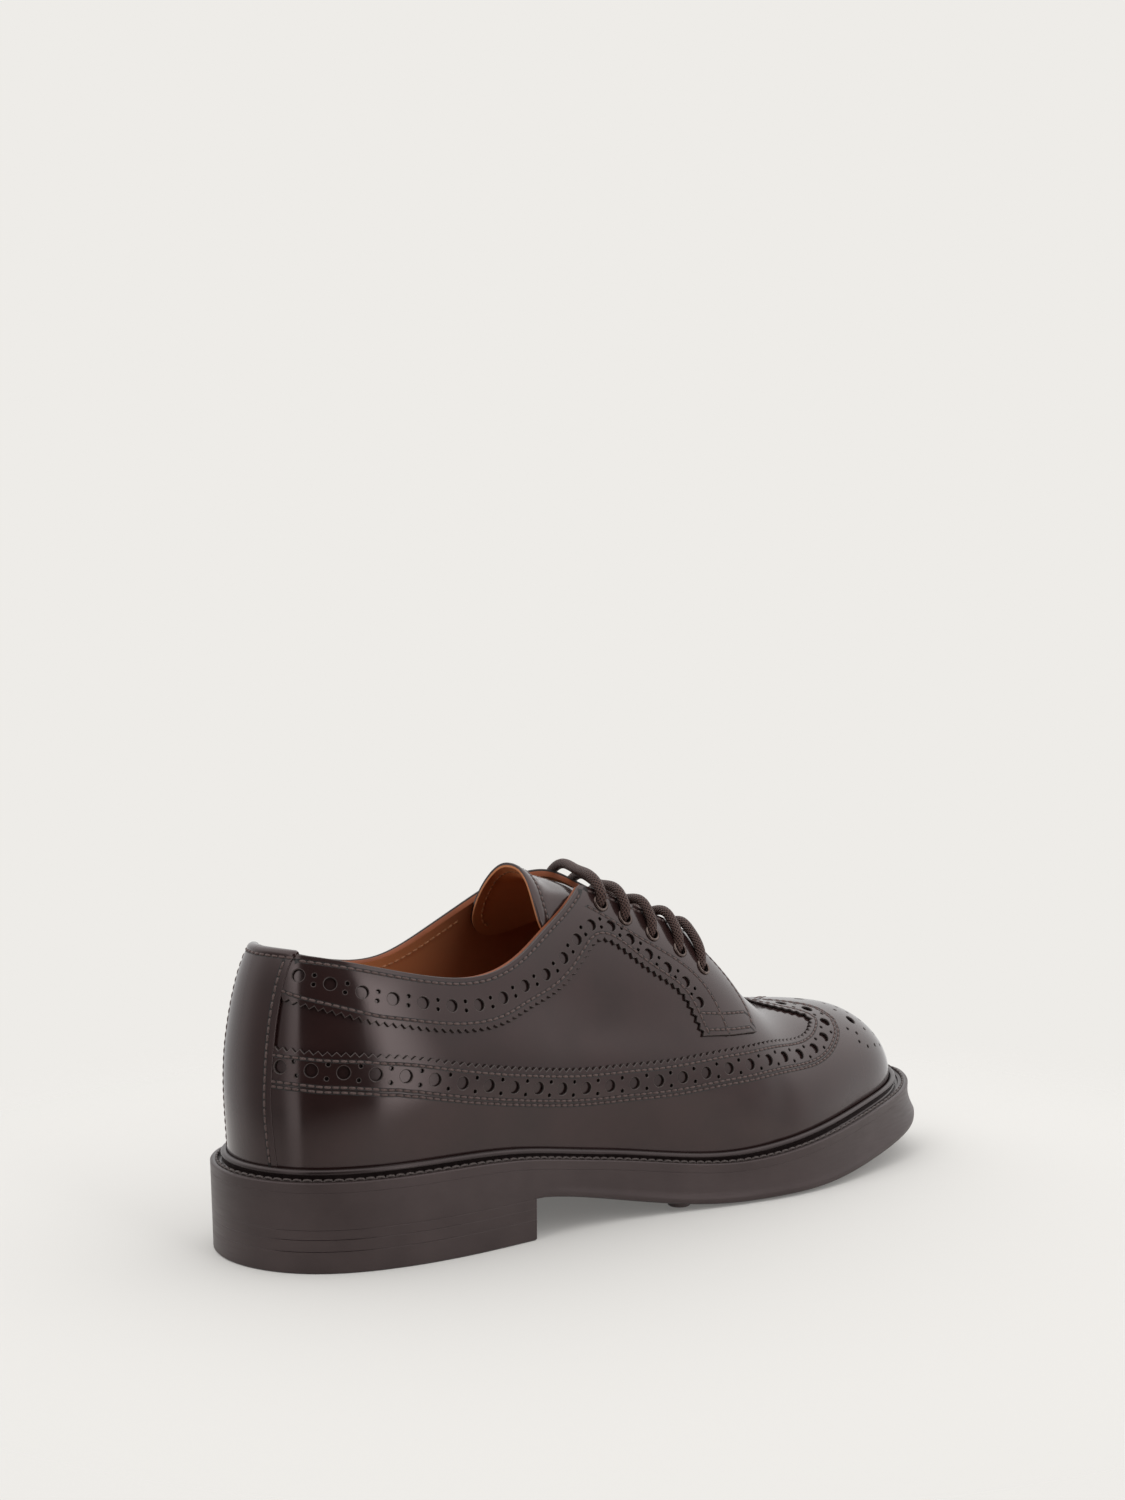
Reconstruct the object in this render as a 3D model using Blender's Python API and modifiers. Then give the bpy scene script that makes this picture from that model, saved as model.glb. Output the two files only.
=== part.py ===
"""Brogue: the left shoe of a longwing derby pair, standing empty on its sole."""
import bpy
import bmesh
import numpy as np
from mathutils import Vector
from mathutils.geometry import delaunay_2d_cdt

MM = 0.001

# Leather
WALL = 2.0
OVERLAY = 1.1
GAP = 0.4
TONGUE_LEATHER = 2.8
BASE_DROP = OVERLAY + GAP
LINING_DROP = BASE_DROP + WALL
TONGUE_DROP = LINING_DROP + 0.7

# Feather edge, where the upper meets the welt: along from the sole's back, across to the left
FEATHER_OUTLINE = (
    ("heel_back", 7.0, 0.0),
    ("heel_outer_shoulder", 16.0, 23.0),
    ("heel_outer", 45.0, 36.0),
    ("waist_outer", 115.0, 36.0),
    ("ball_outer", 185.0, 47.0),
    ("toe_outer", 245.0, 39.0),
    ("toe_outer_shoulder", 280.0, 20.0),
    ("toe_tip", 295.0, -4.0),
    ("toe_inner_shoulder", 285.5, -23.0),
    ("toe_inner", 254.0, -39.0),
    ("ball_inner", 208.0, -48.5),
    ("waist_inner", 126.0, -38.0),
    ("heel_inner", 45.0, -36.5),
    ("heel_inner_shoulder", 16.0, -23.0),
)

# Cross-sections of the upper: heights of its foot and roof, roundness of its side and top,
# side swell, middle line
SECTION_COLUMNS = ("along", "foot", "roof", "side", "top", "swell_in", "swell_out", "middle")
SECTIONS = (
    (0.0, 30.0, 117.0, 1.5, 3.4, 0.8, 0.8, 0.0),
    (45.0, 30.0, 119.0, 1.5, 3.5, 1.0, 1.0, 0.0),
    (90.0, 28.5, 126.0, 1.8, 3.0, 3.0, 2.5, 0.0),
    (115.0, 24.5, 127.0, 2.2, 2.3, 3.5, 3.0, 0.5),
    (135.0, 21.3, 124.5, 2.3, 2.0, 3.5, 3.0, 0.5),
    (155.0, 18.0, 116.0, 2.3, 1.9, 3.0, 2.5, 0.5),
    (175.0, 15.8, 104.5, 2.3, 1.85, 2.5, 2.0, 0.5),
    (195.0, 16.2, 87.5, 2.3, 1.85, 2.0, 2.0, 0.0),
    (215.0, 18.2, 68.5, 2.3, 1.9, 1.5, 1.5, -1.0),
    (235.0, 20.8, 62.8, 2.4, 2.0, 1.2, 1.2, -2.0),
    (262.0, 24.5, 59.8, 2.5, 2.1, 1.0, 1.0, -4.0),
    (283.0, 27.0, 54.0, 2.5, 2.2, 1.0, 1.0, -5.0),
    (300.0, 29.0, 46.0, 2.5, 2.2, 1.0, 1.0, -6.0),
)
HEEL_CENTRE = 42.0
TOE_CENTRE = 246.0
FAN_REACH = 40.0
FAN_SOFTNESS = 0.35
SWELL_HEIGHT = 58.0

# Height of the collar along the shoe
COLLAR_COLUMNS = ("along", "inner", "outer")
COLLAR = (
    (0.0, 101.5, 101.5),
    (20.0, 100.5, 100.5),
    (38.0, 97.0, 96.0),
    (62.0, 91.5, 90.0),
    (82.0, 90.5, 90.5),
    (98.0, 95.5, 98.8),
    (110.0, 102.3, 106.5),
    (120.0, 108.0, 112.7),
    (133.0, 116.5, 119.1),
    (150.0, 128.0, 129.5),
)
# Reach of the opening between the facings to each side of the middle line
THROAT_COLUMNS = ("along", "inner", "outer")
THROAT = (
    (115.0, 19.5, 21.0),
    (133.0, 18.6, 16.3),
    (143.0, 19.1, 12.9),
    (152.0, 19.6, 12.4),
    (171.0, 18.4, 12.0),
    (187.0, 14.0, 11.0),
    (200.0, 11.0, 10.5),
    (207.0, 8.0, 8.0),
    (211.0, 3.0, 3.0),
)
THROAT_FRONT = 211.5
THROAT_BACK = 110.0


def second_slopes(xs, ys):
    """Second derivatives at the knots of the natural cubic spline."""
    count = len(xs)
    gap = np.diff(xs)
    matrix = np.eye(count)
    right = np.zeros(count)
    for k in range(1, count - 1):
        matrix[k, k - 1:k + 2] = gap[k - 1], 2 * (gap[k - 1] + gap[k]), gap[k]
        right[k] = 6 * ((ys[k + 1] - ys[k]) / gap[k] - (ys[k] - ys[k - 1]) / gap[k - 1])
    return np.linalg.solve(matrix, right)


def spline(xs, ys, at):
    """Natural cubic spline through the knots, held level beyond its ends."""
    xs = np.asarray(xs, float)
    ys = np.asarray(ys, float)
    bend = second_slopes(xs, ys)
    at = np.clip(np.asarray(at, float), xs[0], xs[-1])
    k = np.clip(np.searchsorted(xs, at) - 1, 0, len(xs) - 2)
    gap = xs[k + 1] - xs[k]
    left = (xs[k + 1] - at) / gap
    right = 1 - left
    curve = (left**3 - left) * bend[k] + (right**3 - right) * bend[k + 1]
    return left * ys[k] + right * ys[k + 1] + curve * gap * gap / 6


def closed_spline(points, count):
    """Points spaced along the smooth closed curve through the given ones."""
    points = np.asarray(points, float)
    total = len(points)
    step = np.linalg.norm(np.roll(points, -1, 0) - points, axis=1)
    matrix = np.zeros((total, total))
    right = np.zeros((total, 2))
    for k in range(total):
        after = (k + 1) % total
        matrix[k, k - 1] += step[k - 1]
        matrix[k, k] += 2 * (step[k - 1] + step[k])
        matrix[k, after] += step[k]
        right[k] = 6 * ((points[after] - points[k]) / step[k] - (points[k] - points[k - 1]) / step[k - 1])
    bend = np.linalg.solve(matrix, right)
    knots = np.concatenate([[0.0], np.cumsum(step)])
    at = np.linspace(0, knots[-1], count, endpoint=False)
    k = np.clip(np.searchsorted(knots, at, "right") - 1, 0, total - 1)
    after = (k + 1) % total
    left = ((knots[k + 1] - at) / step[k])[:, None]
    ahead = 1 - left
    curve = (left**3 - left) * bend[k] + (ahead**3 - ahead) * bend[after]
    return left * points[k] + ahead * points[after] + curve * (step[k]**2)[:, None] / 6


def read(table, columns, name, along):
    """A table's column at places along the shoe."""
    rows = np.array(table, float)
    return spline(rows[:, 0], rows[:, columns.index(name)], along)


def section(name, along):
    return read(SECTIONS, SECTION_COLUMNS, name, along)


FEATHER = closed_spline([row[1:] for row in FEATHER_OUTLINE], 720)


def past(t):
    return np.sqrt(t * t + FAN_SOFTNESS**2) - FAN_SOFTNESS


def spine(station):
    """Where a rib starts on the middle line, and how far it leans from straight across."""
    back = np.clip((HEEL_CENTRE - station) / FAN_REACH, 0, None)
    front = np.clip((station - TOE_CENTRE) / FAN_REACH, 0, None)
    along = np.clip(station, HEEL_CENTRE, TOE_CENTRE)
    along = along - FAN_REACH * (back - past(back)) + FAN_REACH * (front - past(front))
    lean = np.pi / 2 * (past(front) - past(back)) / past(1.0)
    return along, lean


def fan(count):
    """Shares of the fan's reach at which the ribs lean by even steps."""
    turned = np.linspace(0, 1, count) * past(1.0) + FAN_SOFTNESS
    return np.sqrt(turned**2 - FAN_SOFTNESS**2)


def spread(heel, middle, toe):
    """Stations from the heel's back to the toe's tip, closer where the outline turns."""
    return np.concatenate([
        HEEL_CENTRE - FAN_REACH * fan(heel)[::-1],
        np.linspace(HEEL_CENTRE, TOE_CENTRE, middle)[1:-1],
        TOE_CENTRE + FAN_REACH * fan(toe),
    ])


def spine_frame(station, side):
    """Plan start and plan direction of each rib."""
    along, lean = spine(station)
    start = np.stack([along, section("middle", along)], -1)
    return start, np.stack([np.sin(lean), side * np.cos(lean)], -1)


def cast(start, way, outline):
    """Distance from each start along its way to a closed outline."""
    rel = outline[None] - start[:, None]
    cross = way[:, None, 0] * rel[..., 1] - way[:, None, 1] * rel[..., 0]
    along = (rel * way[:, None]).sum(-1)
    after = np.roll(cross, -1, 1)
    k = np.argmax((cross * after <= 0) & (along > 0) & (cross != after), 1)
    row = np.arange(len(start))
    part = cross[row, k] / (cross[row, k] - after[row, k])
    return along[row, k] * (1 - part) + np.roll(along, -1, 1)[row, k] * part


HEEL_STATION = HEEL_CENTRE - FAN_REACH
TOE_STATION = TOE_CENTRE + FAN_REACH
STATIONS = np.linspace(HEEL_STATION, TOE_STATION, 569)
TURNS = np.linspace(0, np.pi / 2, 121)
REACH = {side: cast(*spine_frame(STATIONS, side), FEATHER) for side in (-1, 1)}


def rib(station, side, turn):
    """Points of the upper's outer face: turn is 0 at the feather edge and a right angle on the spine."""
    start, way = spine_frame(station, side)
    reach = np.interp(station, STATIONS, REACH[side])
    edge = start[..., 0] + way[..., 0] * reach
    foot = section("foot", edge)
    out = reach * np.clip(np.cos(turn), 0, 1) ** (2 / section("side", edge))
    rise = np.sin(turn) ** (2 / section("top", edge))
    height = (section("roof", start[..., 0] + way[..., 0] * out) - foot) * rise
    swell = section("swell_in" if side < 0 else "swell_out", edge)
    out = out + swell * np.cos(turn) * np.sin(np.pi * np.clip(height / SWELL_HEIGHT, 0, 1)) ** 2
    plan = start + way * out[..., None]
    height = (section("roof", plan[..., 0]) - foot) * rise
    return np.concatenate([plan, (foot + height)[..., None]], -1)


def girth_table(side):
    """Length up each rib from the feather edge."""
    points = rib(STATIONS[:, None] + 0 * TURNS, side, TURNS + 0 * STATIONS[:, None])
    steps = np.linalg.norm(np.diff(points, axis=1), axis=-1)
    return np.concatenate([np.zeros((len(STATIONS), 1)), np.cumsum(steps, 1)], 1)


GIRTH = {side: girth_table(side) for side in (-1, 1)}


def full_girth(station, side):
    return np.interp(station, STATIONS, GIRTH[side][:, -1])


def turn_at(station, side, up):
    """The rib's turn at a length up from the feather edge."""
    station = np.asarray(station, float).ravel()
    up = np.asarray(up, float).ravel()
    place = (station - STATIONS[0]) / (STATIONS[1] - STATIONS[0])
    k = np.clip(place.astype(int), 0, len(STATIONS) - 2)
    part = (place - k)[:, None]
    rows = GIRTH[side][k] * (1 - part) + GIRTH[side][k + 1] * part
    j = np.clip((rows < up[:, None]).sum(1) - 1, 0, len(TURNS) - 2)
    n = np.arange(len(up))
    low = rows[n, j]
    share = (up - low) / (rows[n, j + 1] - low)
    return np.clip(TURNS[j] + share * (TURNS[1] - TURNS[0]), 0, np.pi / 2)


def unfold(station, side, up):
    """Flat pattern place of a point: each rib laid out straight from the spine."""
    start, way = spine_frame(np.asarray(station, float), side)
    return start + way * (full_girth(station, side) - up)[..., None]


def fold(flat):
    """Station, side and length up of flat pattern places."""
    front = TOE_CENTRE + FAN_REACH * (1 - past(1.0))
    side = np.where(flat[:, 1] > section("middle", np.clip(flat[:, 0], HEEL_CENTRE, front)), 1, -1)
    low = np.full(len(flat), HEEL_STATION)
    high = np.full(len(flat), TOE_STATION)
    for _ in range(40):
        station = (low + high) / 2
        start, way = spine_frame(station, side)
        rel = flat - start
        ahead = (rel[:, 0] * way[:, 1] - rel[:, 1] * way[:, 0]) * side > 0
        low = np.where(ahead, station, low)
        high = np.where(ahead, high, station)
    start, way = spine_frame(station, side)
    length = ((flat - start) * way).sum(1)
    return station, side, np.where(side < 0, full_girth(station, -1), full_girth(station, 1)) - length


def flat_face(flat):
    """Points of the outer face at flat pattern places."""
    station, side, up = fold(flat)
    points = np.zeros((len(flat), 3))
    for hand in (-1, 1):
        mine = side == hand
        points[mine] = rib(station[mine], hand, turn_at(station[mine], hand, up[mine]))
    return points


def flat_normal(flat):
    """Outward normals of the outer face at flat pattern places."""
    ahead = flat_face(flat + (0.4, 0.0)) - flat_face(flat - (0.4, 0.0))
    left = flat_face(flat + (0.0, 0.4)) - flat_face(flat - (0.0, 0.4))
    normal = np.cross(ahead, left)
    return normal / np.linalg.norm(normal, axis=1)[:, None]


def flat_skin(flat, lift):
    """Points lifted off the outer face along its normal, at flat pattern places."""
    return flat_face(flat) + flat_normal(flat) * lift


def skin(station, side, up, lift=0.0):
    """Points at a length up each rib, lifted off the outer face along its normal."""
    station = np.asarray(station, float)
    up = np.clip(up, 0, full_girth(station, side))
    points = rib(station, side, turn_at(station, side, up))
    if lift:
        points = points + flat_normal(unfold(station, side, up)) * lift
    return points


def rim(side):
    """Length up each station's rib to the collar, the throat or the spine."""
    points = rib(STATIONS[:, None] + 0 * TURNS, side, TURNS + 0 * STATIONS[:, None])
    along = points[..., 0]
    column = "inner" if side < 0 else "outer"
    over = points[..., 2] - read(COLLAR, COLLAR_COLUMNS, column, along)
    over[:, 0] = -1
    gap = read(THROAT, THROAT_COLUMNS, column, along) - np.abs(points[..., 1] - section("middle", along))
    gap = np.where((along > THROAT_BACK) & (along < THROAT_FRONT), gap, -50)
    return np.minimum(first_rise(over, GIRTH[side]), first_rise(gap, GIRTH[side]))


def first_rise(value, girth):
    """Girth at which each row's value first turns positive, or the whole girth."""
    k = np.clip(np.argmax(value > 0, 1), 1, None)
    row = np.arange(len(value))
    low = value[row, k - 1]
    part = np.clip(-low / np.where(value[row, k] == low, 1, value[row, k] - low), 0, 1)
    found = girth[row, k - 1] * (1 - part) + girth[row, k] * part
    return np.where((value > 0).any(1), found, girth[:, -1])


RIM = {side: rim(side) for side in (-1, 1)}


def rim_at(station, side):
    return np.interp(station, STATIONS, RIM[side])

# Sole: height of its lower edge, how far the welt stands out, and how far the lower edge flares
SOLE_COLUMNS = ("along", "lower", "margin", "flare")
SOLE = (
    (0.0, 16.0, 6.0, 0.0),
    (45.0, 16.0, 6.0, 0.0),
    (94.0, 14.8, 5.5, 0.0),
    (120.0, 10.0, 5.0, 0.0),
    (150.0, 3.8, 5.0, 0.2),
    (172.0, 1.1, 5.5, 0.6),
    (195.0, 0.8, 6.2, 1.0),
    (212.0, 1.1, 6.6, 1.3),
    (230.0, 2.4, 6.9, 1.6),
    (260.0, 6.8, 7.3, 2.3),
    (300.0, 14.0, 7.6, 2.8),
)
WELT_THICK = 3.0
BEAD_HEIGHT = 3.2
PAD_INSET = 9.0
PAD_DROP = 1.2
PAD_BACK = 125.0
PAD_FULL = 160.0
INSOLE_THICK = 2.6
INSOLE_RIB = 7.0
HEEL_BREAST = 94.0
HEEL_SEAT = 14.4
LIFT_JOINTS = (11.2, 7.3)
LIFT_GAP = 0.2

# Edges of the overlays: station along the shoe, length up from the feather edge
PIN_RISE = 6.0
UPPER_ROWS = 10
PANEL_SPACING = 4.9
BACKSTAY_EDGE = (
    (15.6, 0.6),
    (14.6, 20.0),
    (15.0, 35.0),
    (15.4, 44.0),
    (16.6, 57.0),
    (19.0, 68.0),
    (20.6, 80.0),
)
WING_TOP = (
    (16.2, 42.2),
    (28.4, 40.8),
    (42.6, 38.8),
    (62.9, 35.0),
    (80.8, 32.1),
    (107.2, 31.4),
    (131.2, 33.6),
    (152.3, 36.6),
    (174.3, 40.2),
    (192.1, 40.7),
    (216.9, 39.0),
    (232.0, 39.5),
    (239.0, 43.5),
)
# Edge of the wing's centre peak: along, half width
WING_PEAK = ((239.0, 21.0), (232.0, 15.5), (224.0, 9.0), (217.0, 3.5), (214.5, 0.0))
BAND_LOW = (
    (18.2, 56.0),
    (29.2, 52.4),
    (47.1, 46.8),
    (59.7, 44.4),
    (72.7, 43.3),
    (87.7, 45.8),
    (98.3, 50.7),
    (111.3, 57.2),
    (127.1, 70.9),
    (134.9, 77.2),
)
FACING_BACK = ((134.9, 77.2), (148.3, 71.1), (157.6, 65.7), (165.3, 60.4), (168.4, 53.7), (170.6, 45.5))
FACING_FRONT = ((198.0, 44.5), (199.5, 53.0), (197.5, 63.0), (192.0, 75.0), (186.5, 83.0))
# Eyelets: inner side's station, length up from the feather edge, lead of the outer side's
EYELETS = (
    (138.5, 91.5, 7.0),
    (148.0, 87.5, 6.5),
    (159.0, 83.0, 5.0),
    (170.5, 78.0, 3.5),
    (180.0, 71.5, 2.0),
)
EYELET_HOLE = 2.1
EYELET_RADIUS = 3.0
EYELET_HEIGHT = 0.9
EYELET_SEAT = 0.25
EYELET_SIDES = 10
LACE_RADIUS = 2.0
LACE_LIFTS = (3.6, 3.4, 3.0, 2.6)
LACE_ARCH = 0.4
# Tongue: station, half width along the leather
TONGUE = (
    (115.4, 0.0),
    (114.9, 11.5),
    (113.6, 23.0),
    (113.0, 32.0),
    (114.0, 38.5),
    (118.0, 43.0),
    (125.0, 43.5),
    (150.0, 30.5),
    (185.0, 22.5),
    (214.0, 17.0),
)
# Hollow of the tongue under the laces: how deep, how far to the inner side, half width, and its ends
TONGUE_SAG = 5.0
SAG_SIDE = 3.0
SAG_HALF = 21.0
SAG_ENDS = (114.5, 125.0, 190.0, 207.0)

# Colours
LEATHER = (0.035, 0.022, 0.021)
LINING = (0.20, 0.062, 0.024)
RUBBER = (0.040, 0.033, 0.034)
LACE = (0.040, 0.028, 0.026)
BRONZE = (0.06, 0.045, 0.04)


def corner_station(side):
    """Station of the facing's top corner, the highest place on the rim."""
    return STATIONS[np.argmax(skin(STATIONS, side, RIM[side])[:, 2])]


def smooth_run(knots, spacing):
    """Points along the smooth open curve through flat pattern knots, about one spacing apart."""
    knots = np.asarray(knots, float)
    length = np.concatenate([[0.0], np.cumsum(np.linalg.norm(np.diff(knots, axis=0), axis=1))])
    count = max(2, int(round(length[-1] / spacing)) + 1)
    at = np.linspace(0, length[-1], count)
    return np.stack([spline(length, knots[:, 0], at), spline(length, knots[:, 1], at)], -1)


def edge_run(table, side, spacing):
    """A panel edge's table as flat pattern points."""
    rows = np.array(table, float)
    return smooth_run(unfold(rows[:, 0], side, rows[:, 1]), spacing)


def spine_run(table, side, spacing):
    """A table of places beside the spine, along and half width, as flat pattern points."""
    rows = np.array(table, float)
    knots = np.stack([rows[:, 0], section("middle", rows[:, 0]) + side * rows[:, 1]], -1)
    return smooth_run(knots, spacing)


def rim_run(first, last, side, spacing):
    """The rim between two stations as flat pattern points."""
    count = max(2, int(round(abs(last - first) / spacing)) + 1)
    station = np.linspace(first, last, count)
    return unfold(station, side, rim_at(station, side))


def joined(*runs):
    """A closed border from runs whose ends meet."""
    points = np.concatenate(runs)
    keep = np.linalg.norm(points - np.roll(points, 1, 0), axis=1) > 0.5
    return points[keep]


def inside(border, points):
    """Which points lie inside a closed border."""
    x, y = points[:, :1], points[:, 1:]
    ax, ay = border[None, :, 0], border[None, :, 1]
    bx, by = np.roll(ax, -1, 1), np.roll(ay, -1, 1)
    crosses = (ay > y) != (by > y)
    slope = np.where(by == ay, 1, by - ay)
    return (crosses & (x < ax + (y - ay) * (bx - ax) / slope)).sum(1) % 2 == 1


def clear_of(border, points, distance):
    """Which points keep a distance from a closed border."""
    start = border[None]
    way = np.roll(border, -1, 0)[None] - start
    rel = points[:, None] - start
    share = np.clip((rel * way).sum(-1) / np.maximum((way**2).sum(-1), 1e-9), 0, 1)
    return np.linalg.norm(rel - way * share[..., None], axis=-1).min(1) > distance


def pins(spacing):
    """Flat pattern places spread over the whole upper, none closer together than the spacing."""
    places = []
    for hand in (-1, 1):
        rises = np.arange(PIN_RISE * 0.8, 130, PIN_RISE)
        station, up = np.meshgrid(spread(10, 22, 14), rises, indexing="ij")
        station, up = station.ravel(), up.ravel()
        keep = up < full_girth(station, hand)
        places.append(unfold(station[keep], hand, up[keep]))
    chosen = []
    for place in np.concatenate(places):
        if not chosen or np.linalg.norm(np.array(chosen) - place, axis=1).min() > spacing:
            chosen.append(place)
    return np.array(chosen)


def fill(border, spacing):
    """Triangles over a closed flat border."""
    grid = pins(spacing)
    grid = grid[inside(border, grid)]
    grid = grid[clear_of(border, grid, spacing * 0.6)]
    points = [Vector(p) for p in np.concatenate([border, grid])]
    count = len(border)
    edges = [(k, (k + 1) % count) for k in range(count)]
    verts, _, faces, _, _, _ = delaunay_2d_cdt(points, edges, [], 1, 1e-5)
    return np.array([tuple(v) for v in verts]), [tuple(f) for f in faces]


def make(name, points, faces, material, sharp=40.0):
    """A named mesh object in the shoe's collection, facing out and smooth up to the sharp angle."""
    mesh = bpy.data.meshes.new(name)
    mesh.from_pydata([tuple((p - ORIGIN) * MM) for p in points], [], faces)
    work = bmesh.new()
    work.from_mesh(mesh)
    bmesh.ops.recalc_face_normals(work, faces=work.faces)
    work.to_mesh(mesh)
    work.free()
    mesh.shade_smooth()
    mesh.set_sharp_from_angle(angle=np.radians(sharp))
    mesh.materials.append(MATERIALS[material])
    made = bpy.data.objects.new(name, mesh)
    SHOE.objects.link(made)
    return made


def shell(name, points, faces, thickness, material):
    """A leather piece: an open outer face thickened inwards."""
    mesh = bpy.data.meshes.new(name)
    mesh.from_pydata([tuple((p - ORIGIN) * MM) for p in points], [], faces)
    mesh.shade_smooth()
    mesh.materials.append(MATERIALS[material])
    made = bpy.data.objects.new(name, mesh)
    SHOE.objects.link(made)
    solid = made.modifiers.new("thickness", "SOLIDIFY")
    solid.thickness = thickness * MM
    solid.offset = -1.0
    solid.use_even_offset = True


def panel(name, border, lift, thickness, spacing, material):
    """A piece of leather cut to a border from the upper's own face, at a height over it."""
    flat, faces = fill(border, spacing)
    height = lift(flat) if callable(lift) else lift
    shell(name, flat_skin(flat, height), faces, thickness, material)


def upper():
    """The hollow upper: one wall, open at the collar, the throat and underneath."""
    corner = corner_station(-1)
    throat = np.linspace(corner, THROAT_FRONT - 1.5, 12)
    stations = spread(9, 24, 12)
    stations = np.concatenate([
        stations[stations < corner - 4.0],
        throat,
        np.linspace(THROAT_FRONT + 2.5, THROAT_FRONT + 24.0, 6),
        stations[stations > THROAT_FRONT + 28.0],
    ])
    rows = np.linspace(0, 1, UPPER_ROWS)
    closed = stations > THROAT_FRONT
    index = {}
    points = []
    for hand in (-1, 1):
        top = np.where(closed, full_girth(stations, hand), rim_at(stations, hand))
        for k, station in enumerate(stations):
            shared = k in (0, len(stations) - 1)
            up = rows * top[k]
            column = skin(np.full(len(rows), station), hand, up, -BASE_DROP)
            for j in range(len(rows)):
                key = (0 if shared or (closed[k] and j == len(rows) - 1) else hand, k, j)
                if key not in index:
                    index[key] = len(points)
                    points.append(column[j])
                index[(hand, k, j)] = index[key]
    faces = []
    for hand in (-1, 1):
        for k in range(len(stations) - 1):
            for j in range(len(rows) - 1):
                corners = ((k, j), (k + 1, j), (k + 1, j + 1), (k, j + 1))
                face = list(dict.fromkeys(index[(hand, *corner)] for corner in corners))
                faces.append(tuple(face if hand < 0 else reversed(face)))
    shell("upper", np.array(points), faces, WALL, "leather")


def overlays():
    """Wing, facings with their collar bands, and the backstay."""
    edge = 7.0
    sides = {}
    for hand in (-1, 1):
        top = edge_run(WING_TOP, hand, edge)
        peak = spine_run(WING_PEAK, hand, edge)
        end = edge_run([(WING_TOP[0][0], u) for u in (0.6, 14.0, 27.0, WING_TOP[0][1])], hand, edge)
        station = spread(12, 24, 15)
        station = np.concatenate([[WING_TOP[0][0]], station[station > WING_TOP[0][0] + 1.0]])
        foot = unfold(station, hand, np.full(len(station), 0.6))
        sides[hand] = np.concatenate([foot[::-1], end, top, peak])
    panel("wing_cap", joined(sides[-1], sides[1][::-1]), 0.0, OVERLAY, PANEL_SPACING, "leather")
    for hand, name in ((-1, "facing_inner"), (1, "facing_outer")):
        corner = corner_station(hand)
        edge = 4.5
        meet = FACING_FRONT[-1][0]
        front = list(FACING_FRONT) + [(meet - 1.5, float(rim_at(meet - 1.5, hand)))]
        back = [(21.4, float(rim_at(21.4, hand))), (19.6, 66.0), BAND_LOW[0]]
        border = joined(
            edge_run(BAND_LOW, hand, edge),
            edge_run(FACING_BACK, hand, edge),
            edge_run([FACING_BACK[-1], (184.0, 45.2), FACING_FRONT[0]], hand, edge),
            edge_run(front, hand, edge),
            rim_run(meet - 1.5, corner, hand, edge),
            rim_run(corner, 21.4, hand, edge),
            edge_run(back, hand, edge),
        )
        panel(name, border, 0.0, OVERLAY, PANEL_SPACING, "leather")
    halves = {}
    edge = 5.0
    for hand in (-1, 1):
        side_edge = [(s, u) for s, u in BACKSTAY_EDGE if u < 70] + [(20.6, float(rim_at(20.6, hand)))]
        foot, rise = BACKSTAY_EDGE[0]
        bottom = unfold(np.linspace(HEEL_STATION, foot, 5), hand, np.full(5, rise))
        top = rim_run(20.6, HEEL_STATION, hand, 3.0)
        halves[hand] = np.concatenate([bottom, edge_run(side_edge, hand, edge), top])
    panel("backstay", joined(halves[-1], halves[1][::-1]), 0.0, OVERLAY, PANEL_SPACING, "leather")


def eased(value):
    """A smooth step from 0 to 1."""
    share = np.clip(value, 0, 1)
    return share * share * (3 - 2 * share)


def tongue_lift(flat):
    """How far the tongue's outer face lies under the facings', hollow below the laces."""
    start, full, last, end = SAG_ENDS
    along = eased((flat[:, 0] - start) / (full - start)) * eased((end - flat[:, 0]) / (end - last))
    across = (flat[:, 1] - section("middle", flat[:, 0]) + SAG_SIDE) / SAG_HALF
    return (-TONGUE_DROP - TONGUE_SAG * along * np.clip(1 - across**2, 0, 1))[:, None]


def tongue():
    """The tongue under the facings, standing above the collar at the back."""
    halves = {hand: spine_run(TONGUE, hand, 6.0) for hand in (-1, 1)}
    border = joined(halves[-1], halves[1][::-1])
    panel("tongue", border, tongue_lift, TONGUE_LEATHER, 6.0, "leather")


def outset(distance):
    """The feather outline moved out by a distance that may change along the shoe."""
    way = np.roll(FEATHER, -1, 0) - np.roll(FEATHER, 1, 0)
    normal = np.stack([way[:, 1], -way[:, 0]], -1) / np.linalg.norm(way, axis=1)[:, None]
    after = np.roll(FEATHER, -1, 0)
    turning = np.sum(FEATHER[:, 0] * after[:, 1] - after[:, 0] * FEATHER[:, 1])
    return FEATHER + normal * np.sign(turning) * np.broadcast_to(distance, (len(FEATHER),))[:, None]


def sole(name, along):
    return read(SOLE, SOLE_COLUMNS, name, along)


def sole_lower(along):
    """Height of the sole's lower edge, level over the heel."""
    return np.minimum(sole("lower", along), HEEL_SEAT)


def around(distance, height):
    """A closed loop around the shoe: distance out from the feather edge, height along the shoe."""
    outline = outset(distance(FEATHER[:, 0]) if callable(distance) else distance)
    sides = []
    for hand in (-1, 1):
        start, way = spine_frame(SOLE_STATIONS, hand)
        plan = start + way * cast(start, way, outline)[:, None]
        sides.append(np.column_stack([plan, height(plan[:, 0])]))
    return np.concatenate([sides[0], sides[1][-2:0:-1]])


def stacked(loops):
    """Points of a stack of loops, and the faces between neighbouring ones."""
    count = len(loops[0])
    faces = []
    for level in range(len(loops) - 1):
        for k in range(count):
            after = (k + 1) % count
            faces.append((level * count + k, level * count + after,
                          (level + 1) * count + after, (level + 1) * count + k))
    return np.concatenate(loops), faces


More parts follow.
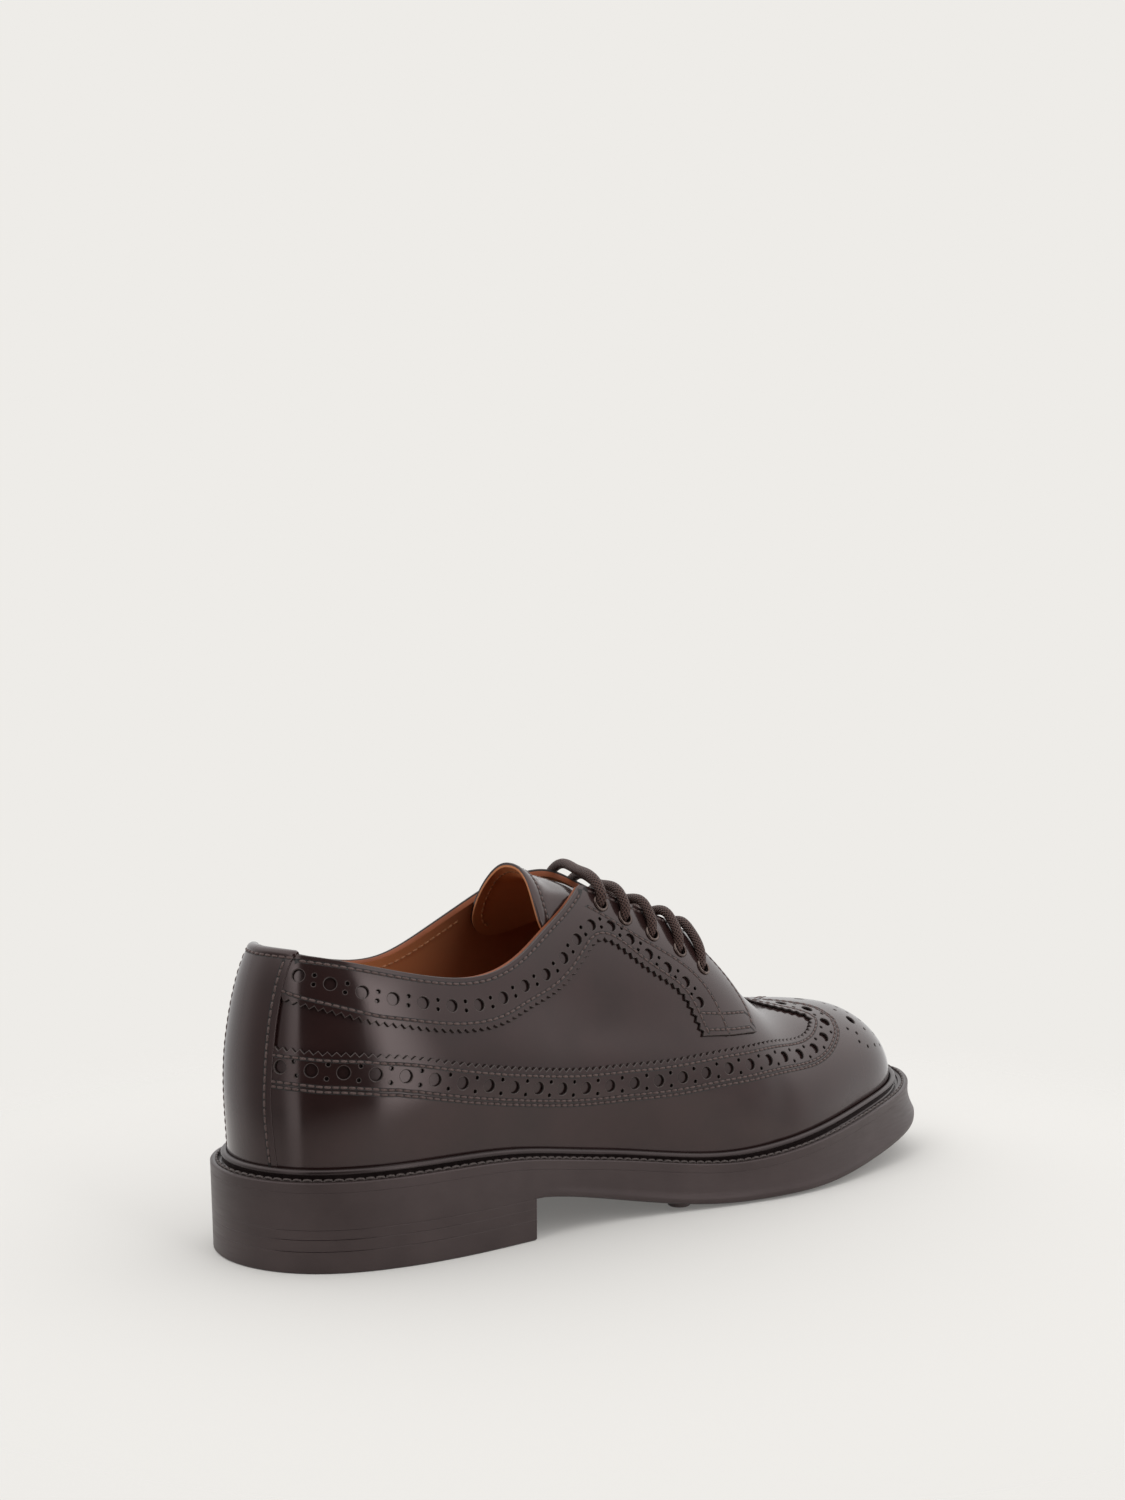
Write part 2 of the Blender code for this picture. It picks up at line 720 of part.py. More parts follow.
def ladder(count, first):
    """Faces across a loop, rung by rung from the heel's back to the toe's tip."""
    half = count // 2
    faces = [(first, first + 1, first + count - 1)]
    for k in range(1, half - 1):
        faces.append((first + k, first + k + 1, first + count - k - 1, first + count - k))
    faces.append((first + half - 1, first + half, first + half + 1))
    return faces


def plate(name, loops, material):
    """A solid from a stack of loops, closed across its first and last."""
    points, faces = stacked(loops)
    count = len(loops[0])
    make(name, points, faces + ladder(count, 0) + ladder(count, len(points) - count), material)


def welt():
    """The storm welt: a flat strip under the upper's edge with a raised bead against it."""
    margin = lambda along: sole("margin", along)
    foot = lambda rise: lambda along: section("foot", along) + rise
    profile = (
        (-INSOLE_RIB + GAP, -GAP - WELT_THICK),
        (-INSOLE_RIB + GAP, -GAP),
        (0.4, -GAP),
        (0.6, BEAD_HEIGHT * 0.75),
        (1.7, BEAD_HEIGHT),
        (2.9, BEAD_HEIGHT * 0.7),
        (3.5, 0.2),
    )
    loops = [around(distance, foot(rise)) for distance, rise in profile]
    loops.append(around(margin, foot(0.0)))
    loops.append(around(margin, foot(-GAP - WELT_THICK)))
    points, faces = stacked(loops + loops[:1])
    count = len(loops[0])
    total = count * len(loops)
    make("welt", points[:total], [tuple(k % total for k in face) for face in faces], "rubber")


def pad_drop(along):
    share = np.clip((along - PAD_BACK) / (PAD_FULL - PAD_BACK), 0, 1)
    return PAD_DROP * share * share * (3 - 2 * share)


def outsole():
    """The rubber sole: arched at the waist, sprung at the toe, with a flat tread under the ball."""
    top = lambda along: section("foot", along) - WELT_THICK - 2 * GAP
    lip = lambda along: sole_lower(along) + 2.6
    tread = lambda along: np.maximum(sole_lower(along) - pad_drop(along), 0)
    margin = lambda along: sole("margin", along)
    flared = lambda along: sole("margin", along) + sole("flare", along)
    inset = lambda along: sole("margin", along) - PAD_INSET
    plate("outsole", [
        around(margin, top),
        around(flared, lip),
        around(flared, sole_lower),
        around(inset, tread),
    ], "rubber")


def heel_outline():
    """The sole's outline behind the heel's breast, closed by a straight breast."""
    ring = around(lambda along: sole("margin", along), sole_lower)[:, :2]
    half = len(ring) // 2
    runs = []
    for run in (ring[:half + 1], np.concatenate([ring[:1], ring[:half - 1:-1]])):
        corner = (HEEL_BREAST, np.interp(HEEL_BREAST, run[:, 0], run[:, 1]))
        runs.append(np.concatenate([run[run[:, 0] < HEEL_BREAST - 1.0], [corner]]))
    return np.concatenate([runs[0], runs[1][:0:-1]])


def heel():
    """Two heel lifts and the top lift that meets the floor, each a flat outline given its thickness."""
    upper_joint, lower_joint = LIFT_JOINTS
    for name, high, low in (
        ("heel_lift_upper", HEEL_SEAT - LIFT_GAP, upper_joint),
        ("heel_lift_lower", upper_joint - LIFT_GAP, lower_joint),
        ("top_lift", lower_joint - LIFT_GAP, 0.0),
    ):
        curve = bpy.data.curves.new(name, "CURVE")
        curve.dimensions = "2D"
        curve.fill_mode = "BOTH"
        curve.extrude = (high - low) / 2 * MM
        outline = (heel_outline() - ORIGIN[:2]) * MM
        line = curve.splines.new("POLY")
        line.points.add(len(outline) - 1)
        flat = 0 * outline[:, 0]
        line.points.foreach_set("co", np.column_stack([outline, flat, flat + 1]).ravel())
        line.use_cyclic_u = True
        curve.materials.append(MATERIALS["rubber"])
        lift = bpy.data.objects.new(name, curve)
        lift.location.z = (high + low) / 2 * MM
        SHOE.objects.link(lift)


def insole():
    """The insole lying in the upper, with the rib under it that stands inside the welt."""
    floor = LINING_DROP + 0.5
    foot = lambda rise: lambda along: section("foot", along) + rise
    plate("insole", [
        around(-INSOLE_RIB, foot(-WELT_THICK - GAP)),
        around(-INSOLE_RIB, foot(0.0)),
        around(-floor, foot(0.0)),
        around(-floor, foot(INSOLE_THICK)),
    ], "lining")


def eyelet_place(row, hand):
    """Station and length up of an eyelet, as far from the facing's edge on the outer side as on the inner."""
    station, up, lead = row
    place = station + lead * (hand > 0)
    return place, up + float(rim_at(place, hand)) - float(rim_at(station, -1))


def eyelets():
    """A rolled ring on the facing at each eyelet, turned from its profile."""
    profile = (
        (EYELET_HOLE + 0.3, EYELET_HEIGHT),
        (EYELET_RADIUS - 0.5, EYELET_HEIGHT),
        (EYELET_RADIUS, 0.0),
        (EYELET_HOLE, 0.0),
    )
    mesh = bpy.data.meshes.new("eyelet")
    mesh.from_pydata([(r * MM, 0.0, z * MM) for r, z in profile], [(0, 1), (1, 2), (2, 3), (3, 0)], [])
    mesh.materials.append(MATERIALS["bronze"])
    for hand, label in ((-1, "inner"), (1, "outer")):
        for number, row in enumerate(EYELETS, 1):
            ring = bpy.data.objects.new(f"eyelet_{label}_{number}", mesh)
            place, rise = (np.array([value]) for value in eyelet_place(row, hand))
            axis = flat_normal(unfold(place, hand, rise))[0]
            ring.location = (skin(place, hand, rise, EYELET_SEAT)[0] - ORIGIN) * MM
            ring.rotation_euler = Vector(axis).to_track_quat("Z", "X").to_euler()
            turned = ring.modifiers.new("turned", "SCREW")
            turned.axis = "Z"
            turned.steps = EYELET_SIDES
            turned.render_steps = EYELET_SIDES
            turned.use_merge_vertices = True
            turned.merge_threshold = 0.00001
            turned.use_smooth_shade = True
            SHOE.objects.link(ring)


def lace_path(row):
    """Middle line of a lace bar from one eyelet over both facings' edges to the other."""
    runs = []
    for hand in (-1, 1):
        place, rise = eyelet_place(row, hand)
        over = np.linspace(rise, float(rim_at(place, hand)), len(LACE_LIFTS))
        flat = unfold(np.full(len(over), place), hand, over)
        runs.append(flat_skin(flat, np.array(LACE_LIFTS)[:, None]))
    bridge = (runs[0][-1] + runs[1][-1]) / 2 + np.array([0.0, 0.0, LACE_ARCH])
    return np.concatenate([runs[0], [bridge], runs[1][::-1]])


def laces():
    """A straight lace bar across the throat at each pair of eyelets."""
    for number, row in enumerate(EYELETS, 1):
        path = (lace_path(row) - ORIGIN) * MM
        name = f"lace_bar_{number}"
        curve = bpy.data.curves.new(name, "CURVE")
        curve.dimensions = "3D"
        curve.bevel_depth = LACE_RADIUS * MM
        curve.bevel_resolution = 1
        curve.use_fill_caps = True
        line = curve.splines.new("POLY")
        line.points.add(len(path) - 1)
        line.points.foreach_set("co", np.column_stack([path, 1 + 0 * path[:, 0]]).ravel())
        line.use_smooth = True
        curve.materials.append(MATERIALS["lace"])
        SHOE.objects.link(bpy.data.objects.new(name, curve))


def material(name, colour, rough):
    """A plain Principled material."""
    made = bpy.data.materials.new(name)
    made.use_nodes = True
    shader = made.node_tree.nodes["Principled BSDF"]
    shader.inputs["Base Color"].default_value = (*colour, 1.0)
    shader.inputs["Roughness"].default_value = rough
    made.diffuse_color = (*colour, 1.0)
    return made


for thing in list(bpy.data.objects):
    bpy.data.objects.remove(thing)
SHOE = bpy.data.collections.new("brogue")
bpy.context.scene.collection.children.link(SHOE)
MATERIALS = {
    "leather": material("leather", LEATHER, 0.25),
    "lining": material("lining", LINING, 0.5),
    "rubber": material("rubber", RUBBER, 0.5),
    "lace": material("lace", LACE, 0.7),
    "bronze": material("bronze", BRONZE, 0.35),
}
SOLE_STATIONS = spread(9, 16, 10)
SOLE_EDGE = around(lambda along: sole("margin", along) + sole("flare", along), sole_lower)
LOW, HIGH = SOLE_EDGE.min(0), SOLE_EDGE.max(0)
ORIGIN = np.array([(LOW[0] + HIGH[0]) / 2, (LOW[1] + HIGH[1]) / 2, 0.0])

upper()
overlays()
tongue()
welt()
outsole()
heel()
insole()
eyelets()
laces()
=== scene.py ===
import bpy
import bmesh
import numpy as np
from mathutils import Matrix, Vector
from mathutils.geometry import delaunay_2d_cdt
from mathutils.kdtree import KDTree


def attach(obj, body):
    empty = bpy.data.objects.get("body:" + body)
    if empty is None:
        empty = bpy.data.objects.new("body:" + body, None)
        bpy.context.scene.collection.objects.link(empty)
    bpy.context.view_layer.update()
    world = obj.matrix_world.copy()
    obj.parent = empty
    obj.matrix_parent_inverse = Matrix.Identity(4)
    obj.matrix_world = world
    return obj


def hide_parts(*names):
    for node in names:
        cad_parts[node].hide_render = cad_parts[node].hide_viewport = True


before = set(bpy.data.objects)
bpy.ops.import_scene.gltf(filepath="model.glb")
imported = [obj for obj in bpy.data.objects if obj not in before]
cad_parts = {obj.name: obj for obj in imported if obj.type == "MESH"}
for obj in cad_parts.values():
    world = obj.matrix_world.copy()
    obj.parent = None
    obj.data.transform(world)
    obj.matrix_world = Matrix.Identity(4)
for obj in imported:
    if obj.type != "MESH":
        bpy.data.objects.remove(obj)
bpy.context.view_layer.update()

# Lengths are in millimetres: along from the sole's back, across to the left, up from the floor
MM = 0.001
# The inner and the outer side
HANDS = (-1, 1)

# Leather: the upper's wall, the pieces laid on it and the gap under them
WALL = 2.0
OVERLAY = 1.1
GAP = 0.4
BASE_DROP = OVERLAY + GAP
LINING_DROP = BASE_DROP + WALL
TONGUE_DROP = LINING_DROP + 0.7
# Feather edge, where the upper meets the welt: along, across, from the heel's back round the outer side
FEATHER_OUTLINE = (
    (7, 0), (16, 23), (45, 36), (115, 36), (185, 47), (245, 39), (280, 20),
    (295, -4), (285.5, -23), (254, -39), (208, -48.5), (126, -38), (45, -36.5), (16, -23),
)
# Cross-sections of the upper: heights of foot and roof, roundness of side and top, side swell, middle line
SECTION_COLUMNS = ("along", "foot", "roof", "side", "top", "swell_in", "swell_out", "middle")
SECTIONS = (
    (0, 30, 117, 1.5, 3.4, 0.8, 0.8, 0),
    (45, 30, 119, 1.5, 3.5, 1, 1, 0),
    (90, 28.5, 126, 1.8, 3, 3, 2.5, 0),
    (115, 24.5, 127, 2.2, 2.3, 3.5, 3, 0.5),
    (135, 21.3, 124.5, 2.3, 2, 3.5, 3, 0.5),
    (155, 18, 116, 2.3, 1.9, 3, 2.5, 0.5),
    (175, 15.8, 104.5, 2.3, 1.85, 2.5, 2, 0.5),
    (195, 16.2, 87.5, 2.3, 1.85, 2, 2, 0),
    (215, 18.2, 68.5, 2.3, 1.9, 1.5, 1.5, -1),
    (235, 20.8, 62.8, 2.4, 2, 1.2, 1.2, -2),
    (262, 24.5, 59.8, 2.5, 2.1, 1, 1, -4),
    (283, 27, 54, 2.5, 2.2, 1, 1, -5),
    (300, 29, 46, 2.5, 2.2, 1, 1, -6),
)
SWELL_HEIGHT = 58.0
# Middles of the heel and the toe, about which the ribs fan out
HEEL_CENTRE = 42.0
TOE_CENTRE = 246.0
FAN_REACH = 40.0
FAN_SOFTNESS = 0.35
# Height of the collar, and reach of the opening between the facings from the middle line
SIDE_COLUMNS = ("along", "inner", "outer")
COLLAR = (
    (0, 101.5, 101.5), (20, 100.5, 100.5), (38, 97, 96), (62, 91.5, 90), (82, 90.5, 90.5),
    (98, 95.5, 98.8), (110, 102.3, 106.5), (120, 108, 112.7), (133, 116.5, 119.1), (150, 128, 129.5),
)
THROAT = (
    (115, 19.5, 21), (133, 18.6, 16.3), (143, 19.1, 12.9), (152, 19.6, 12.4), (171, 18.4, 12),
    (187, 14, 11), (200, 11, 10.5), (207, 8, 8), (211, 3, 3),
)
THROAT_BACK = 110.0
THROAT_FRONT = 211.5
# Soft creases of wear: station and length up at both ends, half width, depth
CREASES = (
    (148, 12, 192, 21, 8, 0.9), (112, 41, 152, 47, 7, 0.6),
    (199, 6, 207, 30, 7, 0.6), (176, 44, 204, 56, 6, 0.5),
)

# Sole: height of its lower edge, how far the welt stands out, and how far the lower edge flares
SOLE_COLUMNS = ("along", "lower", "margin", "flare")
SOLE = (
    (0, 16, 6, 0), (45, 16, 6, 0), (94, 14.8, 5.5, 0), (120, 10, 5, 0),
    (150, 3.8, 5, 0.2), (172, 1.1, 5.5, 0.6), (195, 0.8, 6.2, 1), (212, 1.1, 6.6, 1.3),
    (230, 2.4, 6.9, 1.6), (260, 6.8, 7.3, 2.3), (300, 14, 7.6, 2.8),
)
WELT_THICK = 3.0
WELT_UNDER = -WELT_THICK - GAP
BEAD_HEIGHT = 3.2
TREAD_INSET = 9.0
INSOLE_THICK = 2.6
INSOLE_RIB = 7.0
HEEL_BREAST = 94.0
HEEL_SEAT = 14.4
LIFT_JOINTS = (11.2, 7.3)

# Edges of the overlays: station along the shoe, length up from the feather edge
PANEL_FOOT = 0.6
BACKSTAY_EDGE = ((15.6, 0.6), (14.6, 20), (15, 35), (15.4, 44), (16.6, 57), (19, 68))
BACKSTAY_TOP = 20.6
WING_TOP = (
    (16.2, 42.2), (28.4, 40.8), (42.6, 38.8), (62.9, 35), (80.8, 32.1), (107.2, 31.4), (131.2, 33.6),
    (152.3, 36.6), (174.3, 40.2), (192.1, 40.7), (216.9, 39), (232, 39.5), (239, 43.5),
)
# Edge of the wing's centre peak: along, half width
WING_PEAK = ((239, 21), (232, 15.5), (224, 9), (217, 3.5), (214.5, 0))
BAND_START = (15.2, 57)
BAND_LOW = (
    (18.2, 56), (29.2, 52.4), (47.1, 46.8), (59.7, 44.4), (72.7, 43.3),
    (87.7, 45.8), (98.3, 50.7), (111.3, 57.2), (127.1, 70.9), (134.9, 77.2),
)
BAND_BACK = (17, 66)
FACING_BACK = ((148.3, 71.1), (157.6, 65.7), (165.3, 60.4), (168.4, 53.7), (170.6, 45.5))
FACING_FOOT = (184, 45.2)
FACING_FRONT = ((198, 44.5), (199.5, 53), (197.5, 63), (192, 75), (186.5, 83))
FACING_LEAN = 1.5
# Eyelets: station and length up on the inner side, how far the outer one lies ahead
EYELETS = ((138.5, 91.5, 7), (148, 87.5, 6.5), (159, 83, 5), (170.5, 78, 3.5), (180, 71.5, 2))
EYELET_HOLE = 2.1
EYELET_OUTER = 3.15
EYELET_SEAT = 0.12
EYELET_ROLL = 0.55
# Tongue: station, half width along the leather, and its hollow below the laces
TONGUE = (
    (115.4, 0), (114.9, 11.5), (113.6, 23), (113, 32), (114, 38.5),
    (118, 43), (125, 43.5), (150, 30.5), (185, 22.5), (214, 17),
)
TONGUE_THICK = 1.7
TONGUE_SAG = 5.0
SAG_SIDE = 3.0
SAG_HALF = 21.0
SAG_ENDS = (114.5, 125.0, 190.0, 207.0)

# Cut edges, punched holes and stitches
PINK_PITCH = 2.9
PINK_DEPTH = 1.4
EDGE_DROP = 0.2
EDGE_ROUND = 0.32
HOLE_ROUND = 0.26
GROOVE = 0.26
GROOVE_HALF = 0.66
STITCH_PITCH = 2.6
STITCH_SHARES = np.array([0.13, 0.24, 0.5, 0.76, 0.87])
STITCH_HEIGHTS = np.array([-0.42, 0.035, 0.1, 0.035, -0.42])
THREAD = 0.44
THREAD_BASE = 0.03 - GROOVE
THREAD_INSIDE = 0.1
# Dark studs that paint the shade in the needle holes: radius, level, and heights of their points
NEEDLE = 0.6
NEEDLE_BASE = 0.06 - GROOVE
NEEDLE_HEIGHTS = np.array([0.0] * 6 + [0.03, -0.3])
SHEET_SPACING = 2.0
OVERLAP = 0.03
# Rows on the panels: distance in from a panel's cut edge, in some rows changing over the stations
PINK_ROW = 3.0
WING_HOLE_ROW = ((16, 6.4), (60, 6.9), (120, 7.2), (240, 7.4))
WING_DOUBLE_ROW = (11.4, 13.0)
BAND_HOLE_ROW = ((20, 9.5), (80, 8.7), (125, 7.4), (142, 5.9), (170, 5.2))
FOLD_ROW = 2.1
TAB_ROW = 1.6
BACKSTAY_ROW = 2.5
LINING_ROW = 3.6
TONGUE_ROW = 3.6
TONGUE_ROW_END = 121.0
# Holes: radius, pitch, room at a row's ends, spread of the pairs between; they crowd at the facing's corner
WING_HOLE = 2.15
BAND_HOLE = 2.05
PINHOLE = 0.66
HOLE_SIDES = 24
PINHOLE_SIDES = 12
HOLE_PITCH = 10.4
WING_HOLE_ENDS = (4.6, 4.0)
BAND_HOLE_ENDS = (4.6, 13.2)
WING_PIN_SPREAD = 2.3
BAND_PIN_SPREAD = 1.5
NO_CROWD = ((0, 1.0),)
BAND_CROWD = ((112, 1.0), (124, 1.15))
# Where the wing and the band end under the backstay
BACK_END = 13.2
FACING_END = 19.0
BACKSTAY_LIFT = 0.4
TAB_END = 20.0
TAB_RADIUS = 2.05
EYELET_LINE = (
    (132, 89.5), (138, 87), (147.5, 82.6), (158, 78), (168.5, 72.8), (176.5, 65.5), (181, 56), (183, 45.6),
)
BOX_LINE = ((170, 54), (182, 53.4), (196.5, 52.6))
# Toe medallion: station, length up
MEDALLION_CENTRE = 258.0
MEDALLION_HOLES = ((261.8, 33),)
MEDALLION_PINS = (
    (260, 40.5), (265, 45.8), (268.5, 40.5), (268, 35.8), (271, 29.8), (254.8, 31), (258.2, 27.4),
    (265.5, 26.5), (257, 24), (271.5, 21.8), (260.5, 20.5), (265.4, 19), (270, 17),
)
# Edges of the heel's lifts: how far they are broken, and how much more where a joint stands open
LIFT_EASE = 0.06
LIFT_OPEN = 0.16
LIFT_BEVEL = 0.16
FOOT_EASE = 0.5
OPEN_JOINTS = ((5, 0.2), (9, 1), (28, 1), (37, 0.1), (42, 0.1), (46, 0.5), (60, 0.5), (66, 0))
# Round studs under the sole: rows along, from and to across, count
STUD_RADIUS = 4.0
STUD_DROP = 1.2
STUD_EASE = 0.4
STUD_SIDES = 20
STUD_ROWS = (
    (157.5, -43, 43, 6), (172, -40, 43, 6), (187, -46, 44, 6), (202, -45, 43, 6),
    (217, -43, 41, 6), (232, -40, 37, 5), (247, -36, 32, 5), (262, -30, 25, 4),
)
# A lace's course from its eyelet to the facing's edge: share of the way, lift
LACE_COURSE = ((0, -3.2), (0.04, -1.3), (0.18, 0.7), (0.42, 1.9), (0.72, 2.1), (1, 2))
# How far each bar's middle stands above its ends, from the top one down
LACE_CROWNS = (2.2, 0.4, -1.0, -2.0, -2.6)
LACE_RADIUS = 1.8
LACE_RIBS = 12.0
# Heavy thread on the welt: distance in, pitch, radius, and its course
WELT_ROW = 2.1
WELT_PITCH = 3.3
WELT_THREAD = 0.5
WELT_SHARES = np.array([0.08, 0.2, 0.5, 0.8, 0.92])
WELT_HEIGHTS = np.array([-0.5, 0.12, 0.25, 0.12, -0.5])


def second_slopes(xs, ys):
    """Second derivatives at the knots of the natural cubic spline."""
    count = len(xs)
    gap = np.diff(xs)
    matrix = np.eye(count)
    right = np.zeros(count)
    for k in range(1, count - 1):
        matrix[k, k - 1:k + 2] = gap[k - 1], 2 * (gap[k - 1] + gap[k]), gap[k]
        right[k] = 6 * ((ys[k + 1] - ys[k]) / gap[k] - (ys[k] - ys[k - 1]) / gap[k - 1])
    return np.linalg.solve(matrix, right)


SLOPES = {}


def spline(xs, ys, at):
    """Natural cubic spline through the knots, held level beyond its ends."""
    key = (xs.tobytes(), ys.tobytes())
    if key not in SLOPES:
        SLOPES[key] = second_slopes(xs, ys)
    bend = SLOPES[key]
    at = np.clip(np.asarray(at, float), xs[0], xs[-1])
    k = np.clip(np.searchsorted(xs, at) - 1, 0, len(xs) - 2)
    gap = xs[k + 1] - xs[k]
    left = (xs[k + 1] - at) / gap
    right = 1 - left
    curve = (left**3 - left) * bend[k] + (right**3 - right) * bend[k + 1]
    return left * ys[k] + right * ys[k + 1] + curve * gap * gap / 6


def closed_spline(points, count):
    """Points spaced along the smooth closed curve through the given ones."""
    points = np.asarray(points, float)
    total = len(points)
    step = np.linalg.norm(np.roll(points, -1, 0) - points, axis=1)
    matrix = np.zeros((total, total))
    right = np.zeros((total, 2))
    for k in range(total):
        after = (k + 1) % total
        matrix[k, k - 1] += step[k - 1]
        matrix[k, k] += 2 * (step[k - 1] + step[k])
        matrix[k, after] += step[k]
        right[k] = 6 * ((points[after] - points[k]) / step[k] - (points[k] - points[k - 1]) / step[k - 1])
    bend = np.linalg.solve(matrix, right)
    knots = np.concatenate([[0.0], np.cumsum(step)])
    at = np.linspace(0, knots[-1], count, endpoint=False)
    k = np.clip(np.searchsorted(knots, at, "right") - 1, 0, total - 1)
    after = (k + 1) % total
    left = ((knots[k + 1] - at) / step[k])[:, None]
    ahead = 1 - left
    curve = (left**3 - left) * bend[k] + (ahead**3 - ahead) * bend[after]
    return left * points[k] + ahead * points[after] + curve * (step[k]**2)[:, None] / 6


def read(table, columns, name, along):
    """A table's column at places along the shoe."""
    rows = np.array(table, float)
    return spline(rows[:, 0], rows[:, columns.index(name)], along)


def section(name, along):
    return read(SECTIONS, SECTION_COLUMNS, name, along)


def unit(vectors):
    return vectors / np.maximum(np.linalg.norm(vectors, axis=-1, keepdims=True), 1e-9)


def run_length(points):
    """Length along a run of points, from its start."""
    return np.concatenate([[0.0], np.cumsum(np.linalg.norm(np.diff(points, axis=0), axis=1))])


def at_lengths(path, length, at):
    """Places at lengths along a run."""
    return np.stack([np.interp(at, length, column) for column in path.T], -1)


def resampled(run, count):
    """A run with evenly spaced places."""
    length = run_length(run)
    return at_lengths(run, length, np.linspace(0, length[-1], count))


def smooth_run(knots, spacing=1.0, count=None):
    """Points along the smooth open curve through the knots, about one spacing apart."""
    length = run_length(knots)
    count = count or max(2, int(round(length[-1] / spacing)) + 1)
    at = np.linspace(0, length[-1], count)
    return np.stack([spline(length, column, at) for column in knots.T], -1)


FEATHER = closed_spline(FEATHER_OUTLINE, 720)


def past(t):
    return np.sqrt(t * t + FAN_SOFTNESS**2) - FAN_SOFTNESS


def spine(station):
    """Where a rib starts on the middle line, and how far it leans from straight across."""
    back = np.clip((HEEL_CENTRE - station) / FAN_REACH, 0, None)
    front = np.clip((station - TOE_CENTRE) / FAN_REACH, 0, None)
    along = np.clip(station, HEEL_CENTRE, TOE_CENTRE)
    along = along - FAN_REACH * (back - past(back)) + FAN_REACH * (front - past(front))
    lean = np.pi / 2 * (past(front) - past(back)) / past(1.0)
    return along, lean


def fan(count):
    """Shares of the fan's reach at which the ribs lean by even steps."""
    turned = np.linspace(0, 1, count) * past(1.0) + FAN_SOFTNESS
    return np.sqrt(turned**2 - FAN_SOFTNESS**2)


def spread(heel, middle, toe):
    """Stations from the heel's back to the toe's tip, closer where the outline turns."""
    return np.concatenate([
        HEEL_CENTRE - FAN_REACH * fan(heel)[::-1],
        np.linspace(HEEL_CENTRE, TOE_CENTRE, middle)[1:-1],
        TOE_CENTRE + FAN_REACH * fan(toe),
    ])


def spine_frame(station, side):
    """Plan start and plan direction of each rib."""
    along, lean = spine(station)
    start = np.stack([along, section("middle", along)], -1)
    return start, np.stack([np.sin(lean), side * np.cos(lean)], -1)


def cast(start, way, outline):
    """Distance from each start along its way to a closed outline."""
    rel = outline[None] - start[:, None]
    cross = way[:, None, 0] * rel[..., 1] - way[:, None, 1] * rel[..., 0]
    along = (rel * way[:, None]).sum(-1)
    after = np.roll(cross, -1, 1)
    k = np.argmax((cross * after <= 0) & (along > 0) & (cross != after), 1)
    row = np.arange(len(start))
    part = cross[row, k] / (cross[row, k] - after[row, k])
    return along[row, k] * (1 - part) + np.roll(along, -1, 1)[row, k] * part


HEEL_STATION = HEEL_CENTRE - FAN_REACH
TOE_STATION = TOE_CENTRE + FAN_REACH
STATIONS = np.linspace(HEEL_STATION, TOE_STATION, 569)
TURNS = np.linspace(0, np.pi / 2, 121)
REACH = {side: cast(*spine_frame(STATIONS, side), FEATHER) for side in HANDS}


def rib(station, side, turn):
    """Points of the upper's outer face: turn is 0 at the feather edge and a right angle on the spine."""
    start, way = spine_frame(station, side)
    reach = np.interp(station, STATIONS, REACH[side])
    edge = start[..., 0] + way[..., 0] * reach
    foot = section("foot", edge)
    out = reach * np.clip(np.cos(turn), 0, 1) ** (2 / section("side", edge))
    rise = np.sin(turn) ** (2 / section("top", edge))
    height = (section("roof", start[..., 0] + way[..., 0] * out) - foot) * rise
    swell = section("swell_in" if side < 0 else "swell_out", edge)
    out = out + swell * np.cos(turn) * np.sin(np.pi * np.clip(height / SWELL_HEIGHT, 0, 1)) ** 2
    plan = start + way * out[..., None]
    height = (section("roof", plan[..., 0]) - foot) * rise
    return np.concatenate([plan, (foot + height)[..., None]], -1)


RIBS = {side: rib(STATIONS[:, None] + 0 * TURNS, side, TURNS + 0 * STATIONS[:, None]) for side in HANDS}
# Length up each rib from the feather edge
GIRTH = {
    side: np.pad(np.cumsum(np.linalg.norm(np.diff(points, axis=1), axis=-1), 1), ((0, 0), (1, 0)))
    for side, points in RIBS.items()
}


def full_girth(station, side):
    return np.interp(station, STATIONS, GIRTH[side][:, -1])


def turn_at(station, side, up):
    """The rib's turn at a length up from the feather edge."""
    place = (station - STATIONS[0]) / (STATIONS[1] - STATIONS[0])
    k = np.clip(place.astype(int), 0, len(STATIONS) - 2)
    part = (place - k)[:, None]
    rows = GIRTH[side][k] * (1 - part) + GIRTH[side][k + 1] * part
    j = np.clip((rows < up[:, None]).sum(1) - 1, 0, len(TURNS) - 2)
    n = np.arange(len(up))
    low = rows[n, j]
    share = (up - low) / (rows[n, j + 1] - low)
    return np.clip(TURNS[j] + share * (TURNS[1] - TURNS[0]), 0, np.pi / 2)


def unfold(station, side, up):
    """Flat pattern place of a point: each rib laid out straight from the spine."""
    start, way = spine_frame(station, side)
    return start + way * (full_girth(station, side) - up)[..., None]


def fold(flat):
    """Station, side and length up of flat pattern places."""
    front = TOE_CENTRE + FAN_REACH * (1 - past(1.0))
    side = np.where(flat[:, 1] > section("middle", np.clip(flat[:, 0], HEEL_CENTRE, front)), 1, -1)
    low = np.full(len(flat), HEEL_STATION)
    high = np.full(len(flat), TOE_STATION)
    for _ in range(28):
        station = (low + high) / 2
        start, way = spine_frame(station, side)
        rel = flat - start
        ahead = (rel[:, 0] * way[:, 1] - rel[:, 1] * way[:, 0]) * side > 0
        low = np.where(ahead, station, low)
        high = np.where(ahead, high, station)
    start, way = spine_frame(station, side)
    length = ((flat - start) * way).sum(1)
    return station, side, np.where(side < 0, full_girth(station, -1), full_girth(station, 1)) - length


